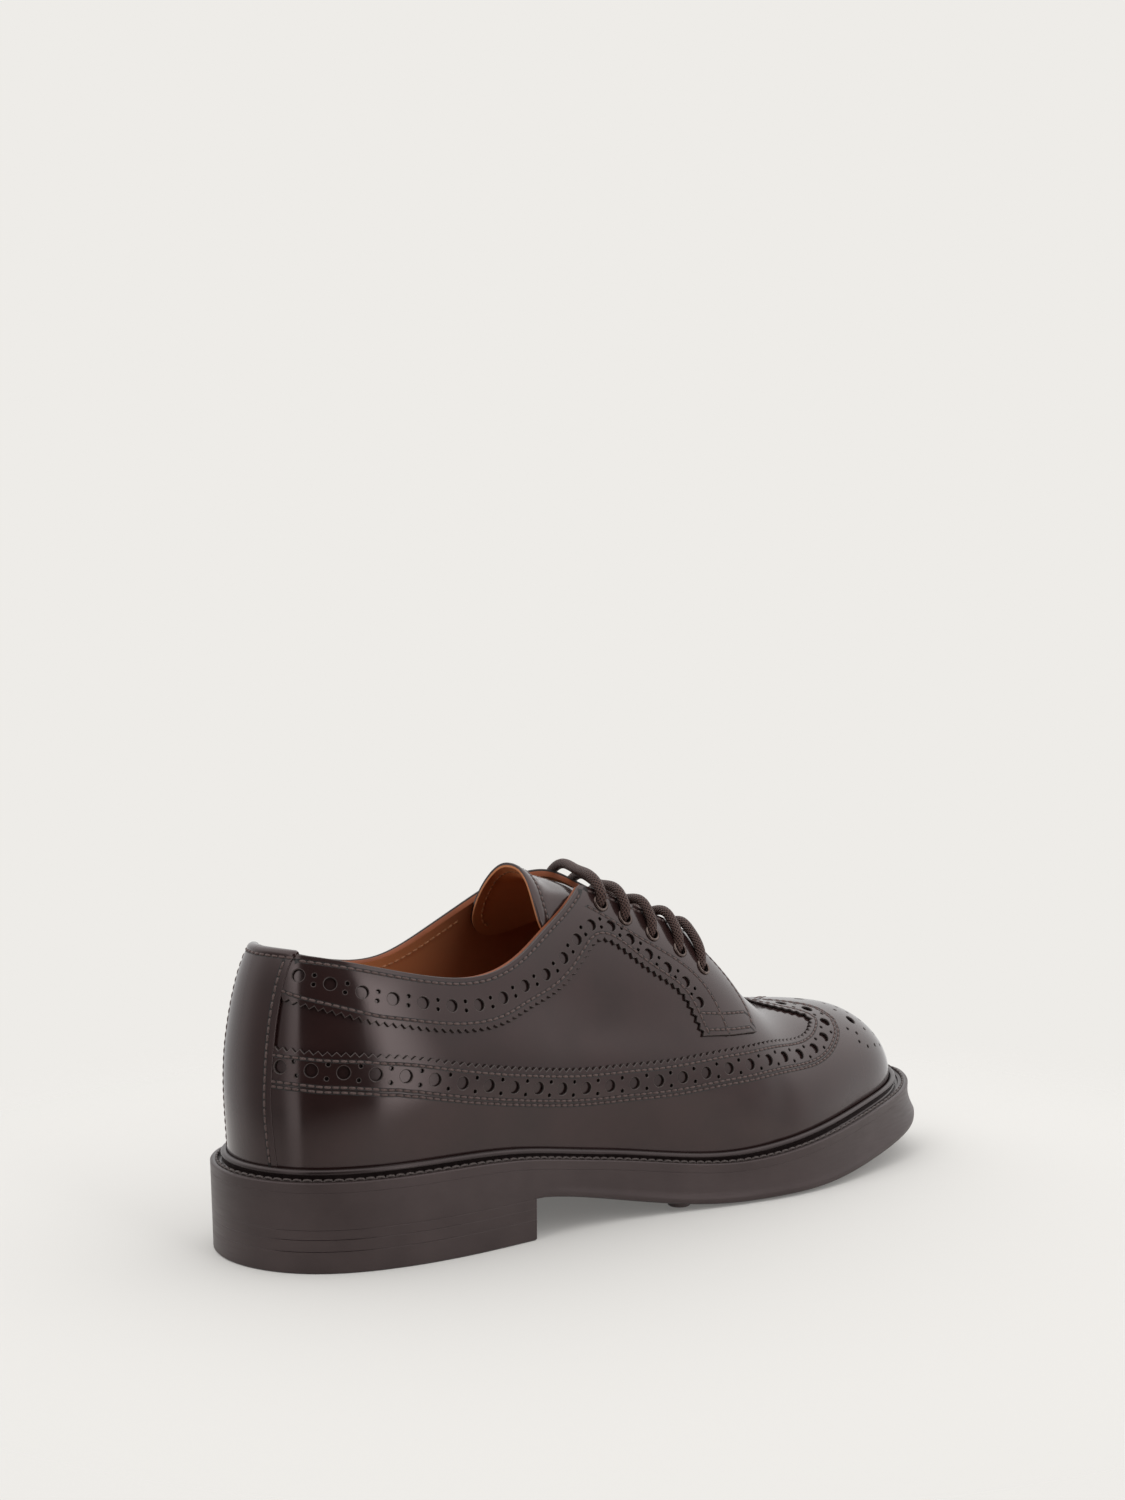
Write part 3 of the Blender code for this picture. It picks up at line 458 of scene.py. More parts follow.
def hollow(flat):
    """Depth of the creases at flat pattern places."""
    depth = np.zeros(len(flat))
    for first, first_up, last, last_up, half, deep in CREASES:
        for hand in HANDS:
            start, end = edge_places(((first, first_up), (last, last_up)), hand)
            share = np.clip(((flat - start) @ (end - start)) / ((end - start) @ (end - start)), 0, 1)
            away = np.linalg.norm(flat - start - share[:, None] * (end - start), axis=1)
            depth += deep * np.exp(-((away / half) ** 2)) * (0.4 + 0.6 * np.sin(np.pi * share) ** 2)
    return depth


def flat_face(flat):
    """Points of the outer face at flat pattern places, pressed in sideways along the creases."""
    station, side, up = fold(flat)
    points = np.zeros((len(flat), 3))
    for hand in HANDS:
        mine = side == hand
        points[mine] = rib(station[mine], hand, turn_at(station[mine], hand, up[mine]))
    points[:, 1] -= side * hollow(flat)
    return points


def metric(flat, step=0.3):
    """How the outer face moves along the flat pattern's two axes."""
    moves = (step, 0.0), (0.0, step)
    return [(flat_face(flat + move) - flat_face(flat - move)) / (2 * step) for move in moves]


def flat_normal(flat):
    """Outward normals of the outer face at flat pattern places."""
    return unit(np.cross(*metric(flat, 0.4)))


def skin(station, side, up, lift):
    """Points at a length up each rib, lifted off the outer face along its normal."""
    up = np.clip(up, 0, full_girth(station, side))
    flat = unfold(station, side, up)
    points = rib(station, side, turn_at(station, side, up)) + flat_normal(flat) * lift
    points[:, 1] -= side * hollow(flat)
    return points


def first_rise(value, girth):
    """Girth at which each row's value first turns positive, or the whole girth."""
    k = np.clip(np.argmax(value > 0, 1), 1, None)
    row = np.arange(len(value))
    low = value[row, k - 1]
    part = np.clip(-low / np.where(value[row, k] == low, 1, value[row, k] - low), 0, 1)
    found = girth[row, k - 1] * (1 - part) + girth[row, k] * part
    return np.where((value > 0).any(1), found, girth[:, -1])


def rim(side):
    """Length up each station's rib to the collar, the throat or the spine."""
    along, across, height = np.moveaxis(RIBS[side], -1, 0)
    column = "inner" if side < 0 else "outer"
    over = height - read(COLLAR, SIDE_COLUMNS, column, along)
    over[:, 0] = -1
    gap = read(THROAT, SIDE_COLUMNS, column, along) - np.abs(across - section("middle", along))
    gap = np.where((along > THROAT_BACK) & (along < THROAT_FRONT), gap, -50)
    return np.minimum(first_rise(over, GIRTH[side]), first_rise(gap, GIRTH[side]))


RIM = {side: rim(side) for side in HANDS}


def rim_at(station, side):
    return np.interp(station, STATIONS, RIM[side])


def corner_station(side):
    """Station of the facing's top corner, the highest place on the rim."""
    return STATIONS[np.argmax(rib(STATIONS, side, turn_at(STATIONS, side, RIM[side]))[:, 2])]


def edge_places(table, side):
    """A table of stations and lengths up as flat pattern places."""
    station, up = np.array(table, float).T
    return unfold(station, side, up)


def edge_run(table, side, spacing=1.0):
    """A panel edge's table as flat pattern points."""
    return smooth_run(edge_places(table, side), spacing)


def spine_run(table, side, spacing=1.0):
    """A table of places beside the spine, along and half width, as flat pattern points."""
    along, half = np.array(table, float).T
    return smooth_run(np.stack([along, section("middle", along) + side * half], -1), spacing)


def rim_run(first, last, side, spacing=1.0):
    """The rim between two stations as flat pattern points."""
    count = max(2, int(round(abs(last - first) / spacing)) + 1)
    station = np.linspace(first, last, count)
    return unfold(station, side, rim_at(station, side))


def inside(border, points):
    """Which points lie inside a closed border, a share of them at a time."""
    (ax, ay), (bx, by) = border.T, np.roll(border, -1, 0).T
    slope = np.where(by == ay, 1, by - ay)
    found = np.zeros(len(points), bool)
    for k in range(0, len(points), 800):
        x, y = points[k:k + 800, :1], points[k:k + 800, 1:]
        crosses = (ay > y) != (by > y)
        found[k:k + 800] = (crosses & (x < ax + (y - ay) * (bx - ax) / slope)).sum(1) % 2 == 1
    return found


def outset(distance):
    """The feather outline moved out by a distance that may change along the shoe."""
    way = np.roll(FEATHER, -1, 0) - np.roll(FEATHER, 1, 0)
    normal = np.stack([way[:, 1], -way[:, 0]], -1) / np.linalg.norm(way, axis=1)[:, None]
    after = np.roll(FEATHER, -1, 0)
    turning = np.sum(FEATHER[:, 0] * after[:, 1] - after[:, 0] * FEATHER[:, 1])
    return FEATHER + normal * np.sign(turning) * np.broadcast_to(distance, (len(FEATHER),))[:, None]


def sole(name, along):
    return read(SOLE, SOLE_COLUMNS, name, along)


def sole_lower(along):
    """Height of the sole's lower edge, level over the heel."""
    return np.minimum(sole("lower", along), HEEL_SEAT)


def level_at(level, places):
    """A constant, or a function's values at places."""
    return level(places) if callable(level) else level


def flatten(ahead, left, moves):
    """Flat pattern moves that give these moves on the face."""
    aa, ab, bb = (ahead * ahead).sum(-1), (ahead * left).sum(-1), (left * left).sum(-1)
    part_a, part_b = (moves * ahead).sum(-1), (moves * left).sum(-1)
    det = np.maximum(aa * bb - ab * ab, 1e-6)
    return np.stack([bb * part_a - ab * part_b, aa * part_b - ab * part_a], -1) / det[..., None]


def beside(path, distance, closed=False):
    """A run moved to its left by a distance on the face, in short steps."""
    distance = np.broadcast_to(np.asarray(distance, float), (len(path),))
    steps = max(1, int(np.ceil(np.abs(distance).max() / 1.5)))
    for _ in range(steps):
        way = np.roll(path, -1, 0) - np.roll(path, 1, 0) if closed else np.gradient(path, axis=0)
        ahead, left = metric(path)
        along = ahead * way[:, :1] + left * way[:, 1:]
        out = unit(np.cross(np.cross(ahead, left), along))
        path = path + flatten(ahead, left, out * (distance / steps)[:, None])
    return path


def evenly(path, spacing):
    """Flat places spaced evenly on the face along a run."""
    length = run_length(flat_face(path))
    count = max(2, int(round(length[-1] / spacing)) + 1)
    return at_lengths(path, length, np.linspace(0, length[-1], count))


def pinked(path, inward):
    """A run cut to saw teeth, with the valleys inside the panel."""
    places = evenly(path, PINK_PITCH / 2)
    return beside(places, np.where(np.arange(len(places)) % 2, inward * PINK_DEPTH, 0.0))


def circles(places, radius, sides):
    """Round outlines on the face about flat places."""
    ahead, left = (axis[:, None] for axis in metric(places))
    across = unit(ahead)
    up = unit(np.cross(np.cross(ahead, left), across))
    angle = np.arange(sides) * 2 * np.pi / sides
    moves = radius * (across * np.cos(angle)[:, None] + up * np.sin(angle)[:, None])
    return places[:, None] + flatten(ahead, left, moves)


def turned_left(border):
    """The border with its inside on the left."""
    after = np.roll(border, -1, 0)
    area = (border[:, 0] * after[:, 1] - after[:, 0] * border[:, 1]).sum()
    return border if area > 0 else border[::-1]


def joined(*runs):
    """A closed border from runs whose ends meet."""
    points = np.concatenate(runs)
    return points[np.linalg.norm(points - np.roll(points, 1, 0), axis=1) > 0.15]


def sheet(border, holes, rows):
    """Flat triangles over a border with round holes, and how far each point sinks."""
    border = turned_left(border)
    loops = [(border, -EDGE_DROP), (beside(border, EDGE_ROUND, True), 0.0)]
    rims = []
    for places, radius, sides in holes:
        rings = circles(places, radius, sides)
        rims += list(rings)
        loops += [(ring, -EDGE_DROP) for ring in rings]
        loops += [(ring, 0.0) for ring in circles(places, radius + HOLE_ROUND, sides)]
    lines = []
    for row in rows:
        centre = evenly(row, STITCH_PITCH / 2)
        lines.append((centre, -GROOVE))
        for share, sink in ((0.55, -0.7 * GROOVE), (1.0, 0.0)):
            lines += [(beside(centre, hand * share * GROOVE_HALF), sink) for hand in HANDS]
    points, sinks, edges = [], [], []
    for closed, group in ((True, loops), (False, lines)):
        for run, sink in group:
            first, count = len(points), len(run)
            points += [tuple(p) for p in run]
            sinks += [sink] * count
            edges += [(first + k, first + k + 1) for k in range(count - 1)]
            edges += [(first + count - 1, first)] if closed else []
    tree = KDTree(len(points))
    for k, point in enumerate(points):
        tree.insert((*point, 0.0), k)
    tree.balance()
    low, high = border.min(0), border.max(0)
    columns = np.arange(low[0], high[0], SHEET_SPACING)
    across, up = np.meshgrid(columns, np.arange(low[1], high[1], SHEET_SPACING * 0.866))
    across = across + (np.arange(len(across)) % 2)[:, None] * SHEET_SPACING / 2
    grid = np.stack([across.ravel(), up.ravel()], -1)
    grid = grid[inside(border, grid)]
    grid = [tuple(p) for p in grid if tree.find((*p, 0.0))[2] > 0.62 * SHEET_SPACING]
    points += grid
    sinks += [0.0] * len(grid)
    verts, _, faces, origin, _, _ = delaunay_2d_cdt([Vector(p) for p in points], edges, [], 1, 1e-5)
    flat = np.array([tuple(v) for v in verts])
    sink = np.array([min((sinks[k] for k in ids), default=0.0) for ids in origin])
    faces = np.array([tuple(f) for f in faces])
    centre = flat[faces].mean(1)
    keep = inside(border, centre)
    for ring in rims:
        middle = ring.mean(0)
        near = np.nonzero(np.all(np.abs(centre - middle) <= np.abs(ring - middle).max(0), axis=1))[0]
        keep[near[inside(ring, centre[near])]] = False
    faces = faces[keep]
    used, renamed = np.unique(faces, return_inverse=True)
    return flat[used], sink[used], renamed.reshape(-1, 3)


def piece(name, points, faces, materials, nodes, slot, sharp=48.0, kinds=None):
    """A named mesh piece of the shoe, in place of CAD nodes; kinds are the faces' materials."""
    mesh = bpy.data.meshes.new(name)
    places = (np.asarray(points) - ORIGIN) * MM
    mesh.from_pydata([tuple(p) for p in places], [], [tuple(map(int, f)) for f in faces])
    for material in materials:
        mesh.materials.append(material)
    if kinds is not None:
        mesh.polygons.foreach_set("material_index", np.asarray(kinds, np.int32))
    mesh.shade_smooth()
    mesh.set_sharp_from_angle(angle=np.radians(sharp))
    mesh.update()
    made = bpy.data.objects.new(name, mesh)
    bpy.context.scene.collection.objects.link(made)
    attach(made, "root")
    if nodes:
        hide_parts(*nodes)
    return made


def outward(made):
    """Turns a piece's faces to point outward."""
    work = bmesh.new()
    work.from_mesh(made.data)
    bmesh.ops.recalc_face_normals(work, faces=work.faces)
    work.to_mesh(made.data)
    work.free()


def gathered(parts):
    """Points and faces of many parts as one."""
    points, faces, count = [], [], 0
    for made, sides in parts:
        faces += [tuple(count + k for k in face) for face in sides]
        points.append(made)
        count += len(made)
    return np.concatenate(points), faces


def stacked(loops):
    """Points of a stack of loops, and the faces between neighbouring ones."""
    count = len(loops[0])
    faces = []
    for low in range(0, (len(loops) - 1) * count, count):
        for k in range(count):
            after = (k + 1) % count
            faces.append((low + k, low + after, low + count + after, low + count + k))
    return np.concatenate(loops), faces


def ringed(loops):
    """Points and faces of a stack of loops that closes in a ring."""
    points, faces = stacked(loops + loops[:1])
    total = len(points) - len(loops[0])
    return points[:total], [tuple(k % total for k in face) for face in faces]


def drum(loops):
    """Points and faces of a stack of loops with a flat face across its first and last."""
    points, faces = stacked(loops)
    count = len(loops[0])
    ends = [tuple(reversed(range(count))), tuple(range(len(points) - count, len(points)))]
    return points, faces + ends


def ladder(count, first):
    """Faces across a loop, rung by rung from the heel's back to the toe's tip."""
    half = count // 2
    faces = [(first, first + 1, first + count - 1)]
    for k in range(1, half - 1):
        faces.append((first + k, first + k + 1, first + count - k - 1, first + count - k))
    faces.append((first + half - 1, first + half, first + half + 1))
    return faces


def closed_piece(name, outer, inner, faces, materials, nodes, rim=None, normals=None, kinds=None):
    """A leather piece with two like faces and walls between their edges, which may bulge to a rim.

    Normals, where given, shade the outer face's even parts; a zero one leaves a point to its faces.
    Kinds, where given, are the outer faces' materials. A rim parts the wall in two materials.
    """
    faces = [tuple(map(int, f)) for f in faces]
    count = len(outer)
    open_edges = {}
    for face in faces:
        for a, b in zip(face, face[1:] + face[:1]):
            if (b, a) in open_edges:
                del open_edges[(b, a)]
            else:
                open_edges[(a, b)] = True
    points = [outer, inner]
    back = [tuple(count + k for k in reversed(face)) for face in faces]
    kinds = list([0] * len(faces) if kinds is None else kinds) + [1] * len(faces)
    if rim is None:
        walls = [(a, a + count, b + count, b) for a, b in open_edges]
        kinds += [2] * len(walls)
    else:
        on_rim = sorted({a for edge in open_edges for a in edge})
        place = {a: 2 * count + k for k, a in enumerate(on_rim)}
        points.append(rim[on_rim])
        walls = [(a, place[a], place[b], b) for a, b in open_edges]
        walls += [(place[a], a + count, b + count, place[b]) for a, b in open_edges]
        kinds += [3] * len(open_edges) + [2] * len(open_edges)
    points = np.concatenate(points)
    made = piece(name, points, faces + back + walls, materials, nodes, "leather", kinds=kinds)
    if normals is not None:
        shading = np.zeros((len(points), 3))
        shading[:count] = normals
        made.data.normals_split_custom_set_from_vertices([tuple(n) for n in shading])


def panel(name, border, holes, rows, node, top=0.0, bottom=-OVERLAY - OVERLAP, edge=None, back=None):
    """A cut piece of leather lying on the upper, with its punched holes and sunken stitch lines."""
    flat, sink, faces = sheet(border, holes, rows)
    face, normal = flat_face(flat), flat_normal(flat)
    materials = (LEATHER, back or LEATHER, back or edge or CUT_EDGE, edge or RIM_WEAR_AND_HIGHLIGHT, STITCH_GROOVE_SHADE)
    # Faces on the rounded brim take a lighter material, partly wear and partly a painted highlight
    at_edge = np.isclose(sink, -EDGE_DROP)[faces].any(1)
    # Faces in the stitch grooves take a dark material that paints their shade
    at_groove_shade = (sink < -0.65 * GROOVE)[faces].any(1)
    kinds = np.where(at_edge, 3, np.where(at_groove_shade, 4, 0))
    high, low = (np.broadcast_to(level_at(level, flat), len(flat)) for level in (top, bottom))
    outer, inner = face + normal * (high + sink)[:, None], face + normal * low[:, None]
    rim = (outer + inner) / 2 if back else None
    even = None if back else normal * (sink == 0.0)[:, None]
    closed_piece(name, outer, inner, faces, materials, (node,), rim, even, kinds)


def tubes(paths, radius, sides, refs):
    """Points and faces of round tubes with closed ends along equal-count paths."""
    along = unit(np.gradient(paths, axis=1))
    side = unit(np.cross(along, refs))
    up = np.cross(side, along)
    angle = np.arange(sides) * 2 * np.pi / sides
    radius = np.broadcast_to(radius, paths.shape[:2])[..., None, None]
    ring = side[:, :, None] * np.cos(angle)[:, None] + up[:, :, None] * np.sin(angle)[:, None]
    points = paths[:, :, None] + ring * radius
    total, steps = paths.shape[:2]
    faces = []
    for first in range(0, total * steps * sides, steps * sides):
        for k in range(steps - 1):
            for s in range(sides):
                a, b = first + k * sides + s, first + k * sides + (s + 1) % sides
                faces.append((a, a + sides, b + sides, b))
        faces.append(tuple(first + s for s in range(sides)))
        faces.append(tuple(first + (steps - 1) * sides + s for s in reversed(range(sides))))
    return points.reshape(-1, 3), faces


def row_threads(row, base, facing):
    """Stitches along a row: out of the leather, along it and back in."""
    ends = evenly(row, STITCH_PITCH)
    flat = (ends[:-1, None] + (ends[1:] - ends[:-1])[:, None] * STITCH_SHARES[:, None]).reshape(-1, 2)
    normal = flat_normal(flat)
    height = np.tile(facing * STITCH_HEIGHTS, len(ends) - 1) + level_at(base, flat)
    paths = flat_face(flat) + normal * height[:, None]
    return tubes(paths.reshape(-1, 5, 3), THREAD, 6, normal.reshape(-1, 5, 3) * facing)


def row_needle_shades(row, base):
    """Small dark studs flush with a stitch line where the thread goes in, painting the shade in the needle
    holes, each a closed form.
    """
    ends = evenly(row, STITCH_PITCH)
    flat = np.concatenate([circles(ends, NEEDLE, 6), ends[:, None], ends[:, None]], 1).reshape(-1, 2)
    height = np.tile(NEEDLE_HEIGHTS, len(ends)) + level_at(base, flat)
    faces = []
    for first in range(0, len(flat), 8):
        for s in range(6):
            a, b = first + s, first + (s + 1) % 6
            faces += [(a, b, first + 6), (b, a, first + 7)]
    return flat_face(flat) + flat_normal(flat) * height[:, None], faces


def add(tree, kind, inputs, **settings):
    """A shader node with its settings, and with values or links on its inputs; gives its outputs."""
    made = tree.nodes.new("ShaderNode" + kind)
    for name, value in settings.items():
        setattr(made, name, value)
    for socket, value in inputs.items():
        if isinstance(value, bpy.types.NodeSocket):
            tree.links.new(value, made.inputs[socket])
        else:
            made.inputs[socket].default_value = value
    return made.outputs


def noise(tree, scale, detail=3.0, stretch=None):
    """A noise texture read in the shoe's own metres."""
    where = add(tree, "TexCoord", {})["Object"]
    if stretch:
        where = add(tree, "Mapping", {"Vector": where, "Scale": stretch})["Vector"]
    return add(tree, "TexNoise", {"Vector": where, "Scale": scale, "Detail": detail})["Fac"]


def blend(tree, factor, low, high, start=0.3, end=0.7, kind="LINEAR"):
    """A colour or value that runs between two ends with a factor."""
    ends = {"Value": factor, "From Min": start, "From Max": end}
    if np.ndim(low) == 0:
        ends.update({"To Min": low, "To Max": high})
        return add(tree, "MapRange", ends, interpolation_type=kind)["Result"]
    share = add(tree, "MapRange", ends)["Result"]
    return add(tree, "Mix", {0: share, 6: (*low, 1.0), 7: (*high, 1.0)}, data_type="RGBA")[2]


def bump(tree, height, strength, distance, bsdf):
    values = {"Height": height, "Strength": strength, "Distance": distance}
    tree.links.new(add(tree, "Bump", values)["Normal"], bsdf.inputs["Normal"])


def shader(name, colour, rough, **values):
    """A Principled material with its constant values set on the shader's own sockets."""
    made = bpy.data.materials.new(name)
    made.use_nodes = True
    bsdf = made.node_tree.nodes["Principled BSDF"]
    bsdf.inputs["Base Color"].default_value = (*colour, 1.0)
    bsdf.inputs["Roughness"].default_value = rough
    for key, value in values.items():
        bsdf.inputs[key.replace("_", " ")].default_value = value
    made.diffuse_color = (*colour, 1.0)
    return made, bsdf


def surface(name, low, high, clouds, rough, grain=None, plain=None, **values):
    """A material that runs between two colours, and a plain one for viewers that leave its nodes out.

    Clouds are the scale and detail of the colours' noise, or an axis and the two places between which they
    change. Rough is one value, or two with the noise between them. Grain is a strength, a depth in metres
    and a noise.
    """
    clouded = isinstance(rough, tuple)
    made, bsdf = shader(name, plain or high, sum(rough[:2]) / 2 if clouded else rough, **values)
    tree = made.node_tree
    if isinstance(clouds[0], str):
        axis, *ends = clouds
        where = add(tree, "SeparateXYZ", {0: add(tree, "TexCoord", {})["Object"]})
        colour = blend(tree, where[axis], low, high, *ends)
    else:
        colour = blend(tree, noise(tree, *clouds), low, high)
    tree.links.new(colour, bsdf.inputs["Base Color"])
    if clouded:
        tree.links.new(blend(tree, noise(tree, *rough[2:]), *rough[:2]), bsdf.inputs["Roughness"])
    if grain:
        bump(tree, noise(tree, *grain[2:]), *grain[:2], bsdf)
    return made


def lining_leather(name, low, high, clouds=(60.0, 5.0)):
    """Smooth vegetable-tanned lining."""
    rough, grain = (0.42, 0.58, 200.0), (0.12, 0.0003, 1100.0, 4.0)
    return surface(name, low, high, clouds, rough, grain, Specular_IOR_Level=0.05)


def trimmed_rubber(name, low, high, rough):
    """Trimmed rubber with faint level scratches from the edge cutter."""
    scratched = (rough - 0.04, rough + 0.04, 90.0, 4.0, (1.0, 1.0, 14.0))
    grain = (0.045, 0.0004, 60.0, 6.0, (1.0, 1.0, 30.0))
    return surface(name, low, high, (60.0, 4.0), scratched, grain, Specular_Tint=(1.0, 0.84, 0.84, 1.0))


def thread(name, low, high):
    """Waxed thread with the twist of its strands."""
    tint = (1.0, 0.84, 0.82, 1.0)
    return surface(name, low, high, (2200.0,), 0.5, (0.4, 0.0002, 3000.0), Specular_Tint=tint)


def lace_cord():
    """Round braided lace: slanted ribs from two crossing waves along and around the cord."""
    made, bsdf = shader("lace_cord", (0.034, 0.022, 0.020), 0.5, Specular_Tint=(1.0, 0.82, 0.8, 1.0))
    tree = made.node_tree
    uv = add(tree, "UVMap", {})["UV"]
    waves = {}
    for k, turn in enumerate((0.75, -0.75)):
        where = add(tree, "Mapping", {"Vector": uv, "Rotation": (0.0, 0.0, turn)})["Vector"]
        waves[k] = add(tree, "TexWave", {"Vector": where, "Scale": 0.33, "Distortion": 0.0})["Fac"]
    most = add(tree, "Math", waves, operation="MAXIMUM")["Value"]
    # The colour is darker in the grooves between the ribs: painted shade
    colour = blend(tree, most, (0.010, 0.0045, 0.0036), (0.090, 0.047, 0.037), 0.3, 1.0)
    tree.links.new(colour, bsdf.inputs["Base Color"])
    bump(tree, most, 0.9, 0.0008, bsdf)
    return made


# Dark polished leather with a clear gloss, its cut edges, their brim lighter for wear and a painted
# highlight, and a dark material in the stitch grooves that paints their shade
LEATHER = surface(
    "polished_leather", (0.016, 0.0072, 0.0066), (0.025, 0.0112, 0.0105), (46.0, 4.0),
    (0.08, 0.15, 90.0, 5.0), (0.03, 0.0002, 1100.0, 5.0), (0.020, 0.009, 0.0085),
    Coat_Weight=0.2, Coat_Roughness=0.34, Specular_Tint=(1.0, 0.84, 0.83, 1.0),
)
CUT_EDGE = surface(
    "cut_edge", (0.014, 0.008, 0.007), (0.030, 0.018, 0.015), (700.0,), 0.65, (0.3, 0.0002, 1600.0),
    (0.020, 0.012, 0.010),
)
# Lighter rounded brim of cut edges and holes: partly wear, partly a painted highlight where the brim catches
# the light
RIM_WEAR_AND_HIGHLIGHT = surface(
    "rim_wear_and_highlight", (0.030, 0.018, 0.016), (0.062, 0.042, 0.038), (400.0,), 0.34, (0.15, 0.0002, 1500.0),
    (0.045, 0.029, 0.026),
)
# Dark material on the faces in the stitch grooves: painted shade along the stitch rows
STITCH_GROOVE_SHADE = surface(
    "stitch_groove_shade", (0.004, 0.0022, 0.002), (0.010, 0.0055, 0.005), (700.0,), 0.5, (0.2, 0.0002, 1500.0),
    (0.007, 0.0038, 0.0035),
)
# Tan lining, its colour darker towards the toe: painted shade deep inside the shoe
LINING = lining_leather("tan_lining_painted_shade", (0.60, 0.245, 0.105), (0.30, 0.120, 0.058), ("X", -0.085, -0.040))
LINING_EDGE = lining_leather("lining_edge", (0.17, 0.052, 0.024), (0.25, 0.080, 0.038))
# Tongue lining, its colour darker towards the bottom: painted shade deep inside the shoe
TONGUE_LINING = lining_leather(
    "tongue_lining_painted_shade", (0.18, 0.074, 0.036), (0.58, 0.240, 0.108), ("Z", 0.080, 0.118),
)
SOCK = lining_leather("sock_leather", (0.30, 0.110, 0.050), (0.40, 0.160, 0.075))
RUBBER = trimmed_rubber("sole_rubber", (0.029, 0.0203, 0.0198), (0.042, 0.0303, 0.0296), 0.42)
WELT = trimmed_rubber("welt_rubber", (0.013, 0.0090, 0.0088), (0.023, 0.0160, 0.0155), 0.30)
THREAD_BROWN = thread("thread_brown", (0.052, 0.033, 0.030), (0.110, 0.074, 0.068))
THREAD_TAN = thread("thread_tan", (0.30, 0.12, 0.05), (0.50, 0.24, 0.11))
THREAD_WELT = thread("thread_welt", (0.030, 0.024, 0.023), (0.075, 0.062, 0.058))
# Near-black material of the studs that paint the shade in the needle holes
NEEDLE_HOLE_SHADE = thread("needle_hole_shade", (0.004, 0.003, 0.003), (0.009, 0.006, 0.005))
LACE = lace_cord()
# Dark oxidised eyelet metal, rubbed brighter in places
BRONZE = surface(
    "dark_bronze", (0.07, 0.05, 0.045), (0.16, 0.125, 0.11), (500.0,), (0.22, 0.4, 800.0),
    plain=(0.10, 0.075, 0.065), Metallic=1.0,
)

SOLE_FINE = spread(34, 70, 40)


def around(distance, height, stations=SOLE_FINE):
    """A closed loop around the shoe: distance out from the feather edge, height along the shoe."""
    outline = outset(level_at(distance, FEATHER[:, 0]))
    sides = []
    for hand in HANDS:
        start, way = spine_frame(stations, hand)
        plan = start + way * cast(start, way, outline)[:, None]
        sides.append(np.column_stack([plan, height(plan[:, 0])]))
    return np.concatenate([sides[0], sides[1][-2:0:-1]])


def sole_edge(inset=0.0, flare=0.0):
    """Distance of the sole's edge from the feather edge, less an inset, with a share of the lower flare."""
    return lambda along: sole("margin", along) + flare * sole("flare", along) - inset


def foot(rise=0.0):
    return lambda along: section("foot", along) + rise


def lower(rise=0.0):
    return lambda along: sole_lower(along) + rise


# The middle of the sole's box, which is the frame's origin
SOLE_BOX = around(sole_edge(0.0, 1.0), sole_lower, spread(9, 16, 10))
ORIGIN = np.append((SOLE_BOX.min(0) + SOLE_BOX.max(0))[:2] / 2, 0.0)


def upto_spine(path, hand):
    """The run's start as far as it stays on its own side of the spine."""
    over = (path[:, 1] - section("middle", path[:, 0])) * hand > 0.8
    return path[:len(path) if over.all() else max(2, np.argmin(over))]


def row_distance(table, path):
    """A value at each place of a path, from a table over the stations."""
    return np.interp(path[:, 0], *np.array(table).T)


def hole_rows(path, pin_spread, ends, crowd=NO_CROWD):
    """Places of the large holes along a row, and of the pairs of pinholes between them.

    The holes stand closer where the crowd, a table over the stations, is above one.
    """
    length = run_length(flat_face(path))
    crowding = row_distance(crowd, (path[1:] + path[:-1]) / 2)
    spread_out = np.concatenate([[0.0], np.cumsum(np.diff(length) * crowding)])
    start, end = ends[0], spread_out[-1] - ends[1]
    count = int(round((end - start) / HOLE_PITCH)) + 1
    at = np.interp(np.linspace(start, end, count), spread_out, length)
    between = at_lengths(path, length, (at[1:] + at[:-1]) / 2)
    pins = [beside(between, offset) for offset in (pin_spread, -pin_spread)]
    return at_lengths(path, length, at), np.concatenate(pins)


def wing():
    """The full-length wing and toe cap with its pinked edge, punched holes and medallion."""
    sides, rows, large, pins = {}, [], [], []
    back_end = (BACK_END, WING_TOP[0][1])
    for hand in HANDS:
        top = np.concatenate([edge_run((back_end,) + WING_TOP, hand), spine_run(WING_PEAK, hand)[1:]])
        end = edge_run([(BACK_END, up) for up in (PANEL_FOOT, 14.0, 27.0, back_end[1])], hand, 1.5)
        station = spread(60, 120, 90)
        station = np.concatenate([[BACK_END], station[station > BACK_END + 0.4]])
        bottom = unfold(station, hand, np.full(len(station), PANEL_FOOT))
        sides[hand] = np.concatenate([bottom[::-1], end[1:-1], pinked(top, hand)])
        rows += [upto_spine(beside(top, hand * drop), hand)[2:] for drop in (PINK_ROW, *WING_DOUBLE_ROW)]
        middle = upto_spine(beside(top, hand * row_distance(WING_HOLE_ROW, top)), hand)
        holes, pairs = hole_rows(middle, WING_PIN_SPREAD, WING_HOLE_ENDS)
        large += [holes, edge_places(MEDALLION_HOLES, hand)]
        pins += [pairs, edge_places(MEDALLION_PINS, hand)]
    large.append(edge_places(((MEDALLION_CENTRE, full_girth(MEDALLION_CENTRE, -1)),), -1))
    holes = ((np.concatenate(large), WING_HOLE, HOLE_SIDES), (np.concatenate(pins), PINHOLE, PINHOLE_SIDES))
    panel("wing_leather", joined(sides[-1], sides[1][::-1]), holes, rows, "wing_cap")
    return rows


def eyelet_place(row, hand):
    """Station and length up of an eyelet, as far from the facing's edge on the outer side as on the inner."""
    station, up, lead = row
    place = station + lead * (hand > 0)
    return place, up + rim_at(place, hand) - rim_at(station, -1)


